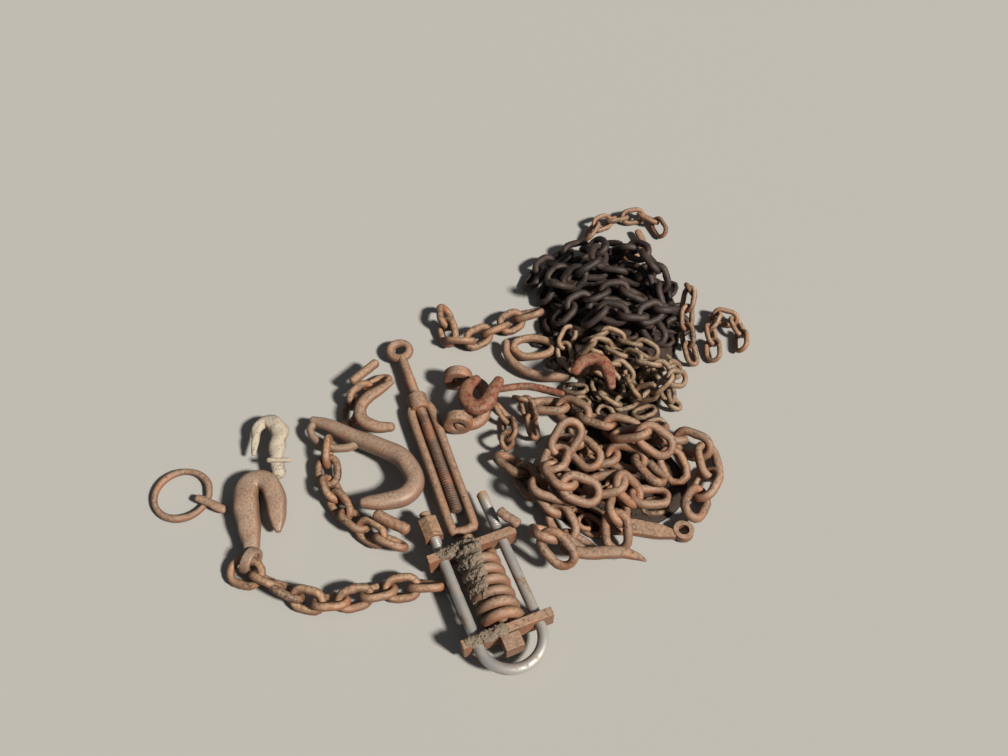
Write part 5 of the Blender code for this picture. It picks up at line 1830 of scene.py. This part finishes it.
@dataclass(frozen=True)
class Mud:
    """The crumbly crust of dry earth on the shackle's spring and plates."""

    crust_step: float = 0.9      # millimetres between the crust's points
    spring_reach: float = 66.0   # millimetres from the rear plate that the crust covers
    spring_edge: tuple = (66.0, 50.0)    # degrees where it starts, and how far that shifts
    spring_side: float = 172.0   # degrees where it stops on the left
    spring_fades: tuple = (14.0, 16.0, 12.0)     # degrees at those two, and millimetres at its front
    thick: float = 0.7           # millimetres over the coils
    lumps: float = 1.5           # how high or low its lumps are
    tallest: float = 1.4         # the most that one stands above that thickness
    grooves: float = 1.1         # half of how far it sinks between two coils
    absent: float = 6.0          # how deep it lies where it covers nothing
    underside: float = 9.0       # how deep its underside lies in the coils
    patch_scale: float = 3.2     # how much coarser its patches are than its crumbs
    plate_top: float = 12.5      # half a plate's height
    rear_patch: tuple = (-44.0, 9.0, 1.7)     # from and to across, and thickness
    front_patch: tuple = (-50.0, 2.0, 0.9)
    patch_sides: int = 44
    patch_fade: float = 7.0      # length over which a plate's crust thins out at its ends
    patch_sunk: float = 0.6      # how deep the middle of its roll lies in the plate
    crumbs: int = 1500
    crumb_size: tuple = (0.35, 1.2)      # least radius, and the most that is added to it
    crumb_tones: tuple = (-1, 0.6)

    def crumble(self, points: np.ndarray) -> np.ndarray:
        """Give a crumbly surface: sines that bend one another, at three sizes.

        Each size adds sin(x + 1.6 sin(y) + 1.2 sin(z)) sin(y + 1.4 sin(z) + 1.1 sin(x)), with
        x, y and z divided by 3.1, 1.5 and 0.8 millimetres, and counts 1, 0.6 and 0.35.

        Args:
            points: Places in millimetres, three to a row.

        Returns:
            Values of about -1 to 1.
        """
        total = 0.0
        for size, weight in ((3.1, 1.0), (1.5, 0.6), (0.8, 0.35)):
            x, y, z = np.moveaxis(points / size, -1, 0)
            total = total + weight * (np.sin(x + 1.6 * np.sin(y) + 1.2 * np.sin(z))
                                      * np.sin(y + 1.4 * np.sin(z) + 1.1 * np.sin(x)))
        return total / 1.4

    def spring_crust(self, shackle: Shackle) -> tuple[np.ndarray, np.ndarray]:
        """Shape the crust that fills the grooves of the spring's rear left part.

        It follows the spring's outside from the edge's angle round to the left. Its height
        over the coils is its thickness and the crumble, less a cosine wave that sinks between
        each two coils, and falls below them towards its borders and between its patches.

        Args:
            shackle: The shackle that it lies on.

        Returns:
            The grid in the shackle's directions, in millimetres, and its two poles.
        """
        away = np.arange(0.3, self.spring_reach, self.crust_step)[:, None]
        first, shift = self.spring_edge
        edge = first + shift * (away / self.spring_reach)**2
        count = round(math.radians(self.spring_side - first) * shackle.spring_outside / 2
                      / self.crust_step)
        angle = edge + (self.spring_side - edge) * np.linspace(0, 1, count)
        turn = np.radians(angle)
        outside = shackle.spring_outside / 2
        along = shackle.spring_length / 2 - away + 0 * angle
        flat = np.stack([outside * np.cos(turn), along, outside * np.sin(turn)], axis=2)
        right, left, front = self.spring_fades
        border = np.minimum((angle - edge) / right, (self.spring_side - angle) / left)
        border = np.minimum(border, (self.spring_reach - away) / front)
        patches = self.crumble(flat / self.patch_scale + 7.0)
        cover = np.clip(border + 0.75 * patches, 0, 1)
        groove = 1 - np.cos(2 * math.pi * away / (shackle.spring_length / shackle.spring_turns))
        over = ((self.thick + self.absent) * cover - self.absent
                + self.lumps * self.crumble(flat) * cover - self.grooves * groove)
        radius = np.minimum(outside + over, outside + self.thick + self.tallest)
        outer = np.stack([radius * np.cos(turn), along, radius * np.sin(turn)], axis=2)
        deep = outside - self.underside
        inner = np.stack([deep * np.cos(turn), along, deep * np.sin(turn)], axis=2)[:, ::-1]
        grid = np.concatenate([outer, inner], axis=1)
        return grid, grid[[0, -1]].mean(axis=1)

    def plate_crust(self, middle: float, patch: tuple) -> tuple[np.ndarray, np.ndarray]:
        """Shape a crust over a plate's top edge, a flattened roll whose radius crumbles.

        Its radius is uneven by 0.28 of the crumble and 0.22 of a coarser one, and its height
        by 0.9 of one that is coarser still.

        Args:
            middle: Where the plate's thickness has its middle along the shackle.
            patch: From and to across the shackle, and thickness.

        Returns:
            The grid in the shackle's directions, in millimetres, and its two poles.
        """
        start, stop, thick = patch
        across = np.arange(start, stop, self.crust_step)[:, None]
        turn = -np.arange(self.patch_sides)[None, :] / self.patch_sides * 2 * math.pi
        ends = np.clip(np.minimum(across - start, stop - across) / self.patch_fade, 0, 1)**0.5
        round_top = np.stack([across + 0 * turn, middle + 6.0 * np.cos(turn) + 0 * across,
                              3.0 * np.sin(turn) + 0 * across], axis=2)
        uneven = (1 + 0.28 * self.crumble(round_top + 3.0)
                  + 0.22 * self.crumble(round_top / self.patch_scale))
        wide = (5.6 + 0.6 * thick) * uneven * ends
        high = (0.8 + thick) * uneven * ends * (1 + 0.9 * self.crumble(round_top / 4.1 + 1.0))
        grid = np.stack([across + 0 * turn, middle + wide * np.cos(turn),
                         self.plate_top - self.patch_sunk + high * np.sin(turn)], axis=2)
        return grid, grid[[0, -1]].mean(axis=1)

    def build(self, heap: Heap) -> None:
        """Lay the three crusts and scatter crumbs on them.

        Args:
            heap: The heap that they belong to.
        """
        shackle = Shackle()
        middle, axes = heap.stance("spring", shackle.at, shackle.heading)
        plate = (shackle.spring_length + shackle.plate_thick) / 2
        crusts = [self.spring_crust(shackle), self.plate_crust(plate, self.rear_patch),
                  self.plate_crust(-plate, self.front_patch)]
        shape = Shape()
        for grid, poles in crusts:
            shape.add_grid(middle + grid * MM @ axes, False, middle + poles * MM @ axes)
        draw = random.Random("crumbs")
        outside = shackle.spring_outside / 2
        for k in range(self.crumbs):
            size = self.crumb_size[0] + self.crumb_size[1] * draw.random()**3
            grid = crusts[draw.choice((0, 0, 0, 1, 1, 2))][0]
            local = grid[draw.randrange(len(grid)), draw.randrange(grid.shape[1])]
            if grid is crusts[0][0]:
                hidden = math.hypot(local[0], local[2]) < outside - 1.0
            else:
                hidden = local[2] < self.plate_top
            if hidden:
                continue
            ring, poles = crumb(middle + local * MM @ axes, size * MM, f"crumb {k}")
            shape.add_grid(ring, False, poles, draw.uniform(*self.crumb_tones))
        heap.own(shape.finished("mud_crust", material_of(Finish.CRUMBLED_MUD)))


# The studio


@dataclass(frozen=True)
class Studio:
    """A pale floor, soft light from the right and front, and the photograph's camera."""

    camera_on_plan: tuple = (50.0, -750.0, 1060.0)
    tilt: float = 37.0           # degrees up from looking straight down
    lens: float = 35.714
    sensor: float = 36.0
    light_from: tuple = (0.83, -0.55)
    light_rise: float = 42.0     # degrees above the floor
    light_spread: float = 7.0    # degrees across, which softens the shadows' edges
    light_strength: float = 6.4
    light_colour: tuple = (1.0, 0.955, 0.89)
    fill: float = 0.16
    fill_colour: str = "#dfe3ea"
    floor_colour: str = "#a09e99"    # looks pale in this light
    floor_reach: float = 120.0

    def build_floor(self) -> None:
        """Lay the plain floor."""
        mesh = bpy.data.meshes.new("floor")
        reach = self.floor_reach
        mesh.from_pydata([(-reach, -reach, 0), (reach, -reach, 0), (reach, reach, 0), (-reach, reach, 0)],
                         [], [(0, 1, 2, 3)])
        material = bpy.data.materials.new("studio_floor")
        material.use_nodes = True
        shader = material.node_tree.nodes["Principled BSDF"]
        shader.inputs["Base Color"].default_value = linear(self.floor_colour)
        shader.inputs["Roughness"].default_value = 0.95
        mesh.materials.append(material)
        make_object("floor", mesh)

    def build_light(self) -> None:
        """Set one even light from the right and front, and fill the room with soft light."""
        rise = math.radians(self.light_rise)
        lamp = bpy.data.lights.new("key", "SUN")
        lamp.angle = math.radians(self.light_spread)
        lamp.energy = self.light_strength
        lamp.color = self.light_colour
        key = make_object("key", lamp)
        key.location = (*self.light_from, 1.0)
        key.rotation_euler = (math.pi / 2 - rise, 0.0, math.atan2(self.light_from[0], -self.light_from[1]))
        world = bpy.data.worlds.new("room")
        world.use_nodes = True
        back = world.node_tree.nodes["Background"]
        back.inputs["Color"].default_value = linear(self.fill_colour)
        back.inputs["Strength"].default_value = self.fill
        bpy.context.scene.world = world

    def build_camera(self, ground: Ground) -> None:
        """Set the camera where the photograph was taken from.

        Args:
            ground: Where the plan lies.
        """
        lens = bpy.data.cameras.new("camera")
        lens.lens = self.lens
        lens.sensor_width = self.sensor
        camera = make_object("camera", lens)
        camera.location = ground.at(*self.camera_on_plan)
        camera.rotation_euler = (math.radians(self.tilt), 0.0, 0.0)
        bpy.context.scene.camera = camera

    def build(self, ground: Ground) -> None:
        """Build the whole studio.

        Args:
            ground: Where the plan lies.
        """
        self.build_floor()
        self.build_light()
        self.build_camera(ground)
        bpy.context.scene.view_settings.view_transform = "Standard"


def corners(box: tuple) -> list[list[float]]:
    """Give a box's two corners as plain lists of numbers."""
    return [[float(value) for value in corner] for corner in box]


def main() -> None:
    """Build the heap's pieces in order, then the studio."""
    logging.basicConfig(level=logging.INFO, format="%(message)s")
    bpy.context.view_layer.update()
    slots = {part["node"]: part["material_slot"] for part in frame["record"]["subparts"]}
    heap = Heap(Ground(), slots)
    heap.ground.lay(CHAINS)
    for chain in CHAINS:
        heap.put(chain.surfaces(), chain.name, seated=False)
    LeftGrabHook().build(heap, CHAINS[0].links[0])
    for fitting in (BigHook(), Turnbuckle(), Clevis(), *BARS):
        fitting.build(heap)
    heap.machined("lever_bar", 2.2 * MM)
    for part in (Shackle(), Mud(), Underlay()):
        part.build(heap)
    Studio().build(heap.ground)


if __name__ == "__main__":
    main()
